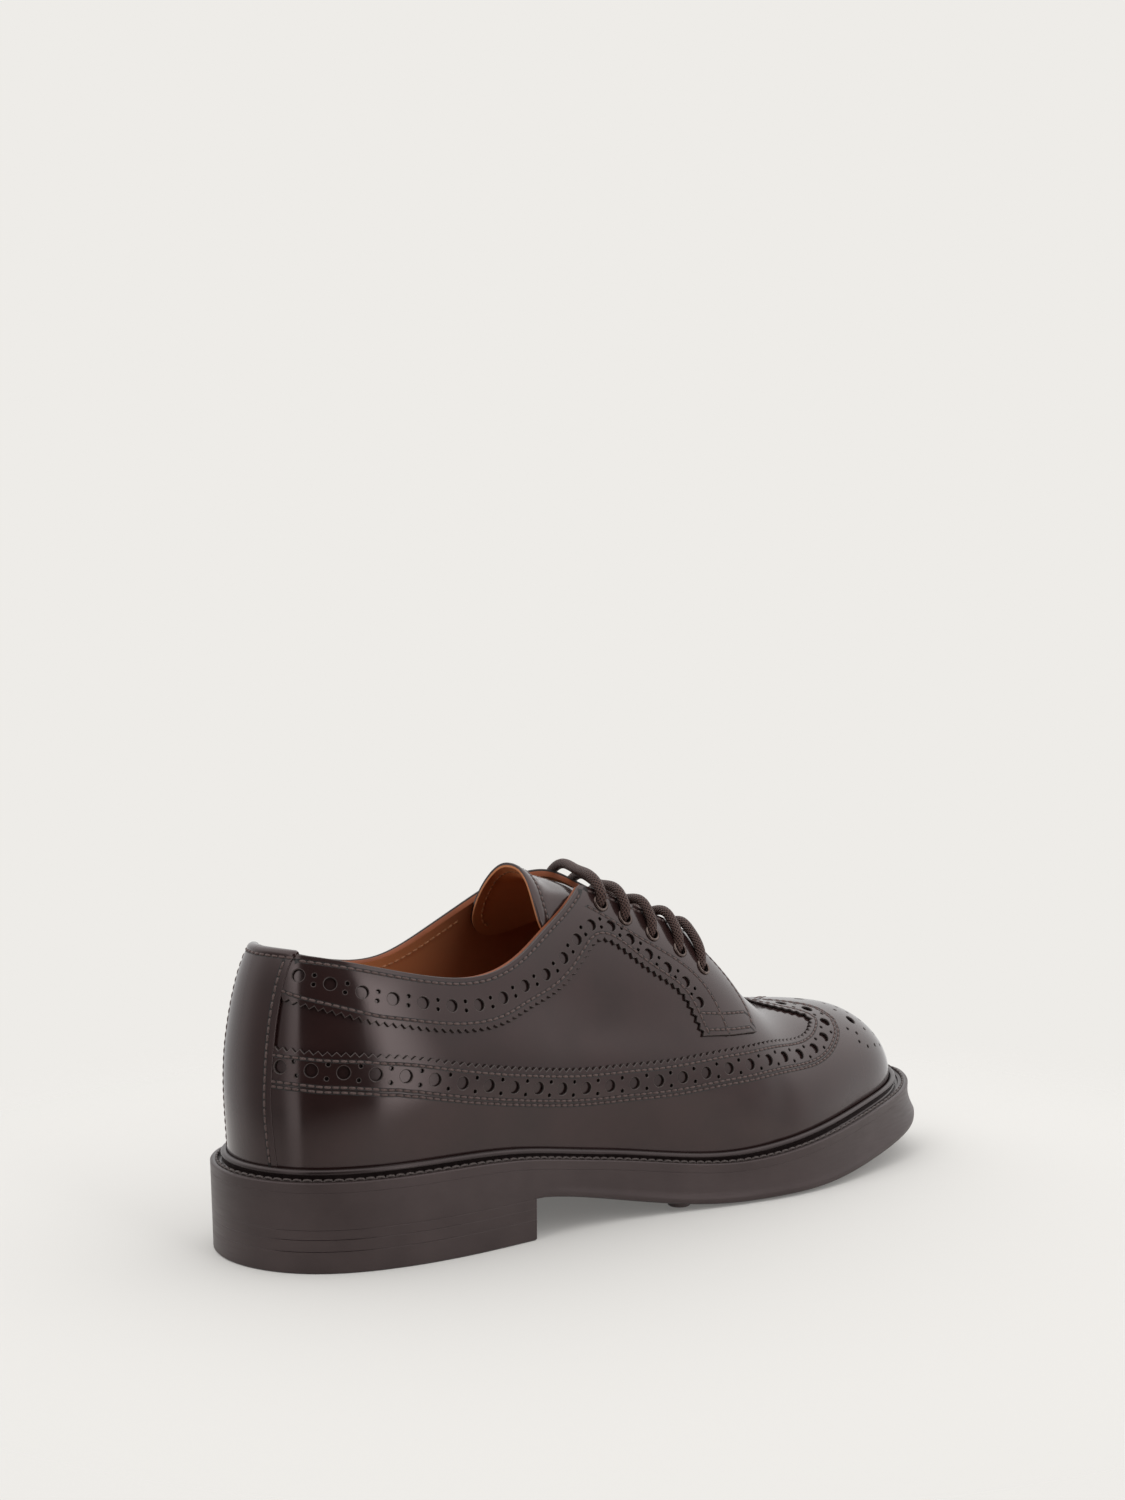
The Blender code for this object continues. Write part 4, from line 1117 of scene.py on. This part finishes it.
def eyelet_places(hand):
    return edge_places([eyelet_place(row, hand) for row in EYELETS], hand)


def eyelet_line(hand):
    """The stitch line under the eyelets, down to the facing's lower edge."""
    station, up = np.array(EYELET_LINE, float).T
    shift = rim_at(station, hand) - rim_at(station, -1)
    return edge_run(np.column_stack([station, up + shift * np.interp(up, (46.0, 80.0), (0.0, 1.0))]), hand)


def facing(hand, name, node):
    """Eyestay and collar band of one side."""
    corner = corner_station(hand)
    meet = FACING_FRONT[-1][0] - FACING_LEAN
    low = edge_run((BAND_START,) + BAND_LOW + FACING_BACK, hand)
    front = edge_run(FACING_FRONT + ((meet, rim_at(meet, hand)),), hand, 1.2)
    bottom = edge_run((FACING_BACK[-1], FACING_FOOT, FACING_FRONT[0]), hand, 1.2)
    throat = rim_run(meet, corner, hand)
    collar = rim_run(corner, FACING_END, hand)
    back = edge_run(((FACING_END, rim_at(FACING_END, hand)), BAND_BACK, BAND_START), hand, 1.5)
    border = joined(pinked(low, -hand), bottom, front, throat, collar, back)
    middle = beside(low, -hand * row_distance(BAND_HOLE_ROW, low))
    holes, pairs = hole_rows(middle, BAND_PIN_SPREAD, BAND_HOLE_ENDS, BAND_CROWD)
    rows = [beside(low, -hand * PINK_ROW)]
    rows += [beside(run, -hand * FOLD_ROW)[3:end] for run, end in (
        (collar, -3), (throat, -3), (front, -2), (bottom, -3),
    )]
    rows += [eyelet_line(hand), edge_run(BOX_LINE, hand)[2:-2]]
    punched = (
        (holes, BAND_HOLE, HOLE_SIDES),
        (pairs, PINHOLE, PINHOLE_SIDES),
        (eyelet_places(hand), EYELET_HOLE + 0.1, 16),
    )
    panel(name, border, punched, rows, node)
    return rows


def backstay():
    """The strip up the back seam, lying over the ends of wing and band."""
    halves, rows, tabs = {}, [], []
    for hand in HANDS:
        top = (BACKSTAY_TOP, rim_at(BACKSTAY_TOP, hand))
        side = edge_run(BACKSTAY_EDGE + (top,), hand, 1.2)
        bottom = unfold(np.linspace(HEEL_STATION, BACKSTAY_EDGE[0][0], 30), hand, np.full(30, PANEL_FOOT))
        rim = rim_run(BACKSTAY_TOP, HEEL_STATION, hand, 0.8)
        halves[hand] = np.concatenate([bottom[:-1], side[:-1], rim])
        rows.append(beside(side, -hand * BACKSTAY_ROW)[2:-3])
        station = np.linspace(TAB_END, HEEL_STATION, 24)
        tabs.append(unfold(station, hand, rim_at(station, hand) - TAB_ROW))
    rows.append(np.concatenate([tabs[0], tabs[1][-2::-1]]))
    border = joined(halves[-1], halves[1][::-1])
    panel("backstay_leather", border, (), rows, "backstay", top=BACKSTAY_LIFT, edge=LEATHER)
    return rows


def heel_tab():
    """The backstay's top, folded over the collar behind the heel."""
    places = np.linspace(BACKSTAY_TOP + 0.2, HEEL_STATION, 40)
    drop = 1.0 - (BASE_DROP + LINING_DROP) / 2
    sides = [skin(places, hand, rim_at(places, hand) - 0.4, drop) for hand in HANDS]
    path = np.concatenate([sides[0], sides[1][-2::-1]])
    ends = np.minimum(np.arange(len(path)), np.arange(len(path))[::-1])
    radius = TAB_RADIUS * np.interp(ends, (0, 1, 2), (0.82, 0.96, 1.0))
    points, faces = tubes(path[None], radius, 14, np.array([0.0, 0.0, 1.0]))
    piece("heel_tab", points, faces, [LEATHER], (), "leather", 50.0)


def upper_shell():
    """Vamp and quarters with their lining: one wall with a rounded rim."""
    stations = np.unique(np.concatenate([
        HEEL_CENTRE - FAN_REACH * fan(30),
        np.linspace(HEEL_CENTRE, THROAT_FRONT - 1.0, 120),
        [corner_station(-1)],
        np.linspace(THROAT_FRONT + 0.3, TOE_CENTRE, 24),
        TOE_CENTRE + FAN_REACH * fan(36),
    ]).round(4))
    rows = np.linspace(0, 1, 36)
    closed = stations > THROAT_FRONT
    index, layers = {}, ([], [], [])
    depths = ((-OVERLAY, 0.0), (-LINING_DROP, 0.0), (-(OVERLAY + LINING_DROP) / 2, 0.45))
    for hand in HANDS:
        top = np.where(closed, full_girth(stations, hand), rim_at(stations, hand))
        station = np.repeat(stations, len(rows))
        up = (top[:, None] * rows).ravel()
        faces_at = [skin(station, hand, up + rise, lift) for lift, rise in depths]
        for k in range(len(stations)):
            for j in range(len(rows)):
                shared = k in (0, len(stations) - 1) or (closed[k] and j == len(rows) - 1)
                key = (0 if shared else hand, k, j)
                if key not in index:
                    index[key] = len(layers[0])
                    for layer, made in zip(layers, faces_at):
                        layer.append(made[k * len(rows) + j])
                index[(hand, k, j)] = index[key]
    faces = []
    for hand in HANDS:
        for k in range(len(stations) - 1):
            for j in range(len(rows) - 1):
                corners = ((k, j), (k + 1, j), (k + 1, j + 1), (k, j + 1))
                face = list(dict.fromkeys(index[(hand, *c)] for c in corners))
                faces.append(tuple(face if hand < 0 else face[::-1]))
    outer, inner, rim = (np.array(layer) for layer in layers)
    materials = (LEATHER, LINING, LINING_EDGE, LINING_EDGE)
    closed_piece("upper_leather", outer, inner, faces, materials, ("upper",), rim)


def eased(value):
    """A smooth step from 0 to 1."""
    share = np.clip(value, 0, 1)
    return share * share * (3 - 2 * share)


def tongue_lift(flat):
    """How far the tongue's outer face lies under the facings', hollow below the laces."""
    start, full, last, end = SAG_ENDS
    along = eased((flat[:, 0] - start) / (full - start)) * eased((end - flat[:, 0]) / (end - last))
    across = (flat[:, 1] - section("middle", flat[:, 0]) + SAG_SIDE) / SAG_HALF
    return -TONGUE_DROP - TONGUE_SAG * along * np.clip(1 - across**2, 0, 1)


def tongue_at(rise):
    return lambda flat: tongue_lift(flat) + rise


def tongue():
    """The tongue: leather outside, tan lining inside."""
    halves = [spine_run(TONGUE, hand, 1.2) for hand in HANDS]
    border = joined(halves[0], halves[1][::-1])
    row = beside(turned_left(border), TONGUE_ROW, True)
    panel(
        "tongue_leather", border, (), [row], "tongue", top=tongue_lift,
        bottom=tongue_at(-TONGUE_THICK), edge=LEATHER, back=TONGUE_LINING,
    )
    return row


def plate(name, profile, material, node, slot):
    """A solid of loops around the shoe, closed across its first and last."""
    loops = [around(*pair) for pair in profile]
    points, faces = stacked(loops)
    count = len(loops[0])
    faces = faces + ladder(count, 0) + ladder(count, len(points) - count)
    outward(piece(name, points, faces, [material], (node,), slot, 35.0))


def bead(share):
    """Height on the storm welt's bead, which is lower at the toe."""
    tall = share * BEAD_HEIGHT
    return lambda along: section("foot", along) + tall * np.interp(along, (200, 290), (1.0, 0.8))


# Profile of the storm welt: bead as distance out and share of its height, channel as distance and rise,
# strip as distance in from the sole's edge and rise
BEAD = (
    (0.3, 0.6), (0.4, 0.86), (0.75, 0.97), (1.3, 1.0), (1.85, 0.95),
    (2.3, 0.82), (2.5, 0.66), (2.4, 0.5), (2.0, 0.38), (1.8, 0.2),
)
CHANNEL = ((1.9, -0.5), (2.3, -0.8), (3.3, -0.8), (3.6, -0.1))
STRIP = ((0.8, 0.02), (0.25, -0.12), (0.0, -0.45), (0.0, WELT_UNDER + 0.08), (0.07, WELT_UNDER))


def storm_welt():
    """The welt's bead against the upper, its channel, and the stitched strip outside, edged like the sole."""
    inner = GAP - INSOLE_RIB
    profile = [(inner, foot(WELT_UNDER)), (inner, foot(-GAP)), (BEAD[0][0], foot(-GAP))]
    profile += [(out, bead(share)) for out, share in BEAD]
    profile += [(out, foot(rise)) for out, rise in CHANNEL]
    profile += [(sole_edge(inset), foot(rise)) for inset, rise in STRIP]
    loops = [around(*pair) for pair in profile]
    kinds = np.zeros(len(loops), int)
    kinds[-len(STRIP):-1] = 1
    kinds = np.repeat(kinds, len(loops[0]))
    outward(piece("storm_welt", *ringed(loops), [WELT, RUBBER], ("welt",), "welt", 35.0, kinds))


# The lip along the sole's lower edge: distance in, rise
LIP = ((-0.25, 2.5), (-0.3, 1.6), (-0.2, 0.7), (0.3, 0.2), (1.0, 0.0))
LIP_TOP = 3.0


def lipped(inset):
    """The sole's lower edge with a lip in front of the heel, flush with the lifts over it."""
    edge = sole_edge(LIFT_EASE if inset == LIP[-1][0] else 0.0, 1.0)
    return lambda along: edge(along) - inset * eased((along - HEEL_BREAST + 4.0) / 24.0)


def sole_side(share):
    """Height at a share of the way from the welt down to the lip."""
    return lambda along: foot(WELT_UNDER - 0.08)(along) * (1 - share) + lower(LIP_TOP)(along) * share


def sole_body():
    """The side of the sole with its lower lip, and its underside."""
    profile = [(sole_edge(0.5), foot(WELT_UNDER + 0.3)), (sole_edge(0.07), foot(WELT_UNDER))]
    profile += [(sole_edge(0.0, share**1.6), sole_side(share)) for share in np.linspace(0, 1, 6)]
    profile += [(lipped(inset), lower(rise)) for inset, rise in LIP]
    profile.append((sole_edge(TREAD_INSET, 1.0), lower()))
    plate("sole_rubber", profile, RUBBER, "outsole", "rubber")


def sock():
    """The leather sock over the insole."""
    edge = -LINING_DROP - 0.5
    profile = (
        (-INSOLE_RIB, foot(WELT_UNDER)), (-INSOLE_RIB, foot()), (edge, foot()),
        (edge, foot(INSOLE_THICK - 0.5)), (edge - 0.5, foot(INSOLE_THICK)),
    )
    plate("sock", profile, SOCK, "insole", "lining")


def heel_outline(inset):
    """The sole's outline behind the heel's breast, closed by a straight breast."""
    ring = around(sole_edge(inset), sole_lower)[:, :2]
    half = len(ring) // 2
    front = HEEL_BREAST - inset
    runs = []
    for run in (ring[:half + 1], np.concatenate([ring[:1], ring[:half - 1:-1]])):
        corner = (front, np.interp(front, run[:, 0], run[:, 1]))
        runs.append(resampled(np.concatenate([run[run[:, 0] < front - 0.5], [corner]]), 90))
    return np.concatenate([runs[0], runs[1][:0:-1]])


def heel():
    """The heel's lifts, their edges broken so that the joints show as fine lines."""
    flush = heel_outline(0.0)
    drawn = heel_outline(1.0) - flush
    opened = LIFT_EASE + LIFT_OPEN * row_distance(OPEN_JOINTS, flush)
    heights = (HEEL_SEAT, *LIFT_JOINTS, 0.0)
    names = ("heel_lift_1", "heel_lift_2", "heel_top_piece")
    nodes = ("heel_lift_upper", "heel_lift_lower", "top_lift")
    for name, node, high, low in zip(names, nodes, heights, heights[1:]):
        under, rise = (opened, LIFT_BEVEL) if low else (FOOT_EASE, FOOT_EASE)
        sections = ((opened, high), (0.0, high - LIFT_BEVEL), (0.0, low + rise), (under, low))
        loops = []
        for inset, height in sections:
            plan = flush + drawn * np.broadcast_to(inset, len(flush))[:, None]
            loops.append(np.column_stack([plan, np.full(len(plan), height)]))
        outward(piece(name, *drum(loops), [RUBBER], (node,), "rubber", 12.0))


def studs():
    """Moulded studs on the tread, their tips on the floor under the ball."""
    angle = np.arange(STUD_SIDES) * 2 * np.pi / STUD_SIDES
    circle = np.column_stack([np.cos(angle), np.sin(angle), 0 * angle])
    parts = []
    for along, inner, outer, count in STUD_ROWS:
        base = float(sole_lower(along))
        tip = max(base - STUD_DROP, 0.0)
        rings = ((-STUD_EASE, tip), (0.0, tip + 0.3), (STUD_EASE, base + STUD_EASE))
        for across in np.linspace(inner, outer, count):
            loops = [circle * (STUD_RADIUS + ease) + (along, across, height) for ease, height in rings]
            parts.append(drum(loops))
    piece("sole_studs", *gathered(parts), [RUBBER], (), "rubber", 40.0)


def eyelet_rings():
    """Rolled metal eyelets set in the facings."""
    theta, phi = (np.arange(count) * 2 * np.pi / count for count in (28, 12))
    out = (EYELET_OUTER + EYELET_HOLE) / 2 + (EYELET_OUTER - EYELET_HOLE) / 2 * np.cos(phi)
    rise = EYELET_SEAT + EYELET_ROLL * np.sin(phi)
    parts = []
    for hand in HANDS:
        places = eyelet_places(hand)
        ways = unit(metric(places)[0])
        for centre, normal, way in zip(flat_face(places), flat_normal(places), ways):
            spokes = np.outer(np.cos(theta), way) + np.outer(np.sin(theta), np.cross(normal, way))
            parts.append(ringed([centre + np.outer(out, spoke) + np.outer(rise, normal) for spoke in spokes]))
    nodes = [f"eyelet_{label}_{n}" for label in ("inner", "outer") for n in range(1, 6)]
    outward(piece("eyelet_rings", *gathered(parts), [BRONZE], nodes, "bronze", 60.0))


def lace_knots(row, crown):
    """A lace bar's course: up through one eyelet, over both facings' edges, down through the other."""
    shares, lifts = np.array(LACE_COURSE).T
    runs = []
    for hand in HANDS:
        station, up = eyelet_place(row, hand)
        flat = unfold(np.full(len(shares), station), hand, up + (rim_at(station, hand) - up) * shares)
        runs.append(flat_face(flat) + flat_normal(flat) * lifts[:, None])
    bridge = (runs[0][-1] + runs[1][-1]) / 2 + (0.0, 0.0, crown)
    return np.concatenate([runs[0], [bridge], runs[1][::-1]])


def laces():
    """The lace's bars, run through the eyelets, with a map along and around them for the braid."""
    steps, sides = 70, 16
    paths = np.array([smooth_run(lace_knots(*bar), count=steps) for bar in zip(EYELETS, LACE_CROWNS)])
    points, faces = tubes(paths, LACE_RADIUS, sides, np.array([1.0, 0.0, 0.0]))
    nodes = [f"lace_bar_{n}" for n in range(1, 6)]
    made = piece("lace", points, faces, [LACE], nodes, "lace", 60.0)
    layer = made.data.uv_layers.new(name="UVMap")
    length = np.array([run_length(path) for path in paths])
    for poly in made.data.polygons:
        ids = list(poly.vertices)
        ring = [k % sides for k in ids]
        wraps = len(ids) == 4 and max(ring) == sides - 1 and min(ring) == 0
        for loop, k, turn in zip(poly.loop_indices, ids, ring):
            bar, step = k // (steps * sides), (k // sides) % steps
            around_at = sides if wraps and turn == 0 else turn
            layer.data[loop].uv = (length[bar, step], around_at * LACE_RIBS / sides)


def welt_stitches():
    """Heavy thread along the welt's strip, all the way round."""
    ring = around(sole_edge(WELT_ROW), foot(0.05), spread(60, 160, 70))
    ring = np.concatenate([ring, ring[:1]])
    ends = resampled(ring, int(run_length(ring)[-1] / WELT_PITCH))
    paths = ends[:-1, None] + (ends[1:] - ends[:-1])[:, None] * WELT_SHARES[:, None]
    paths[..., 2] += WELT_HEIGHTS
    points, faces = tubes(paths, WELT_THREAD, 8, np.array([0.0, 0.0, 1.0]))
    piece("welt_stitches", points, faces, [THREAD_WELT], (), "welt", 60.0)


# Stitch rows with the level of the leather that they lie on
rows = [(row, 0.0) for row in wing()]
rows += [(row, 0.0) for row in facing(-1, "facing_medial", "facing_inner")]
rows += [(row, 0.0) for row in facing(1, "facing_lateral", "facing_outer")]
rows += [(row, BACKSTAY_LIFT) for row in backstay()]
threads = [row_threads(row, level + THREAD_BASE, 1.0) for row, level in rows]
# Dark studs at the stitches' ends paint the shade in the needle holes
needle_shades = [row_needle_shades(row, level + NEEDLE_BASE) for row, level in rows]
row = tongue()
threads.append(row_threads(row, tongue_at(THREAD_BASE), 1.0))
needle_shades.append(row_needle_shades(row, tongue_at(NEEDLE_BASE)))
row = np.roll(row, -int(np.argmax(row[:, 0])), axis=0)
row = row[row[:, 0] < TONGUE_ROW_END]
inner_threads = [row_threads(row, tongue_at(THREAD_INSIDE - TONGUE_THICK), -1.0)]
for hand in HANDS:
    row = beside(rim_run(THROAT_BACK, FACING_END, hand), -hand * LINING_ROW)[3:-3]
    inner_threads.append(row_threads(row, THREAD_INSIDE - LINING_DROP, -1.0))
piece("lining_stitches", *gathered(inner_threads), [THREAD_TAN], (), "lining", 60.0)
piece("stitching", *gathered(threads), [THREAD_BROWN], (), "leather", 60.0)
piece("needle_shade_dots", *gathered(needle_shades), [NEEDLE_HOLE_SHADE], (), "leather")
heel_tab()
upper_shell()
storm_welt()
sole_body()
heel()
sock()
studs()
eyelet_rings()
laces()
welt_stitches()

# Camera: the photograph's angle to the shoe, in its 1125 by 1500 frame
FRAME_WIDE, FRAME_HIGH = 1125, 1500
AZIMUTH, ELEVATION = np.radians(-38.1), np.radians(11.4)
TARGET = np.array([150.0, 0.0, 45.0])
DISTANCE = 713.0
FOCAL_PX = 1943.0
CENTRE_PX = (588.0, 1069.0)
SENSOR = 36.0


def camera():
    back = np.array([
        np.sin(AZIMUTH) * np.cos(ELEVATION),
        -np.cos(AZIMUTH) * np.cos(ELEVATION),
        np.sin(ELEVATION),
    ])
    right = np.array([np.cos(AZIMUTH), np.sin(AZIMUTH), 0.0])
    place = (TARGET + DISTANCE * back - ORIGIN) * MM
    data = bpy.data.cameras.new("camera")
    data.sensor_width = SENSOR
    data.lens = FOCAL_PX / FRAME_HIGH * SENSOR
    data.shift_x = (FRAME_WIDE / 2 - CENTRE_PX[0]) / FRAME_HIGH
    data.shift_y = (CENTRE_PX[1] - FRAME_HIGH / 2) / FRAME_HIGH
    data.clip_start = 0.01
    made = bpy.data.objects.new("camera", data)
    turn = Matrix([right, np.cross(back, right), back]).transposed()
    made.matrix_world = Matrix.Translation(Vector(place)) @ turn.to_4x4()
    bpy.context.scene.collection.objects.link(made)
    bpy.context.scene.camera = made


# Studio: tones of the surroundings, the floor and the lamps, strengths of the lights
PALE = (0.855, 0.838, 0.807)
FLOOR = (0.568, 0.558, 0.539)
LAMP = (0.84, 0.835, 0.83)
FLOOR_GLOW = 0.155
LEVEL_LIGHT = 0.84
CEILING_LIGHT = 1.9
BOX_LIGHT = 2.6
TOE_LIGHT = 0.35
GAP_SHADE = 0.99
BACK_SHADE = 0.55
# Radii in metres between which the floor fades, azimuth of the dark gap, cosines of its edges and of the soft
# boxes' outer edges, sines of the elevations where gap and boxes end
FLOOR_FADE = (0.19, 0.36)
DARK_GAP = np.radians(-31.0)
GAP_EDGE = (0.81, 0.88)
BOX_EDGE = (0.58, 0.78)
GAP_TOP = (0.7, 0.92)
BOX_TOP = (0.45, 0.75)


def step(tree, value, ends, low=0.0, high=1.0):
    """A smooth step of a value between two ends."""
    return blend(tree, value, low, high, *ends, "SMOOTHSTEP")


def maths(tree, kind, first, second):
    return add(tree, "Math", {0: first, 1: second}, operation=kind)["Value"]


def floor():
    """A pale floor that fades into the pale surroundings."""
    mesh = bpy.data.meshes.new("floor")
    work = bmesh.new()
    bmesh.ops.create_circle(work, cap_ends=True, segments=96, radius=3.0)
    work.to_mesh(mesh)
    work.free()
    made = bpy.data.objects.new("floor", mesh)
    material, bsdf = shader("floor", FLOOR, 0.9, Emission_Color=(*PALE, 1.0), Emission_Strength=FLOOR_GLOW)
    tree = material.node_tree
    where = add(tree, "TexCoord", {})["Object"]
    far = add(tree, "VectorMath", {0: where}, operation="LENGTH")["Value"]
    clear = add(tree, "BsdfTransparent", {})["BSDF"]
    mix = add(tree, "MixShader", {0: step(tree, far, FLOOR_FADE), 1: bsdf.outputs["BSDF"], 2: clear})
    tree.links.new(mix["Shader"], tree.nodes["Material Output"].inputs["Surface"])
    mesh.materials.append(material)
    bpy.context.scene.collection.objects.link(made)


def facing_share(tree, way, azimuth):
    """Cosine of the level angle between a direction and an azimuth."""
    toward = (np.sin(azimuth), -np.cos(azimuth), 0.0)
    level = add(tree, "VectorMath", {0: way, 1: (1.0, 1.0, 0.0)}, operation="MULTIPLY")["Vector"]
    even = add(tree, "VectorMath", {0: level}, operation="NORMALIZE")["Vector"]
    return add(tree, "VectorMath", {0: even, 1: toward}, operation="DOT_PRODUCT")["Value"]


def studio():
    """Pale studio surroundings: soft boxes to both sides of a dark gap, and a bright ceiling."""
    world = bpy.data.worlds.new("studio")
    world.use_nodes = True
    tree = world.node_tree
    way = add(tree, "TexCoord", {})["Generated"]
    parts = add(tree, "SeparateXYZ", {0: way})
    along, high = parts["X"], parts["Z"]
    ahead = facing_share(tree, way, DARK_GAP)
    low_band = step(tree, high, BOX_TOP, 1.0, 0.0)
    gap = maths(tree, "MULTIPLY", step(tree, ahead, GAP_EDGE), step(tree, high, GAP_TOP, 1.0, 0.0))
    behind = maths(tree, "MULTIPLY", step(tree, along, (-0.95, -0.62), BACK_SHADE, 0.0), low_band)
    boxes = maths(tree, "MULTIPLY", step(tree, ahead, BOX_EDGE), low_band)
    glow = step(tree, high, (-0.05, 0.9), LEVEL_LIGHT, CEILING_LIGHT)
    glow = maths(tree, "ADD", glow, maths(tree, "MULTIPLY", boxes, BOX_LIGHT))
    glow = maths(tree, "ADD", glow, step(tree, along, (0.6, 0.97), 0.0, TOE_LIGHT))
    for shade in (maths(tree, "MULTIPLY", gap, GAP_SHADE), behind):
        glow = maths(tree, "MULTIPLY", glow, maths(tree, "SUBTRACT", 1.0, shade))
    light = tree.nodes["Background"]
    light.inputs["Color"].default_value = (*LAMP, 1.0)
    tree.links.new(glow, light.inputs["Strength"])
    plain = add(tree, "Background", {"Color": (*PALE, 1.0)})["Background"]
    seen = add(tree, "LightPath", {})["Is Camera Ray"]
    mix = add(tree, "MixShader", {0: seen, 1: light.outputs["Background"], 2: plain})
    tree.links.new(mix["Shader"], tree.nodes["World Output"].inputs["Surface"])
    bpy.context.scene.world = world
    bpy.context.scene.view_settings.view_transform = "Standard"


camera()
floor()
studio()
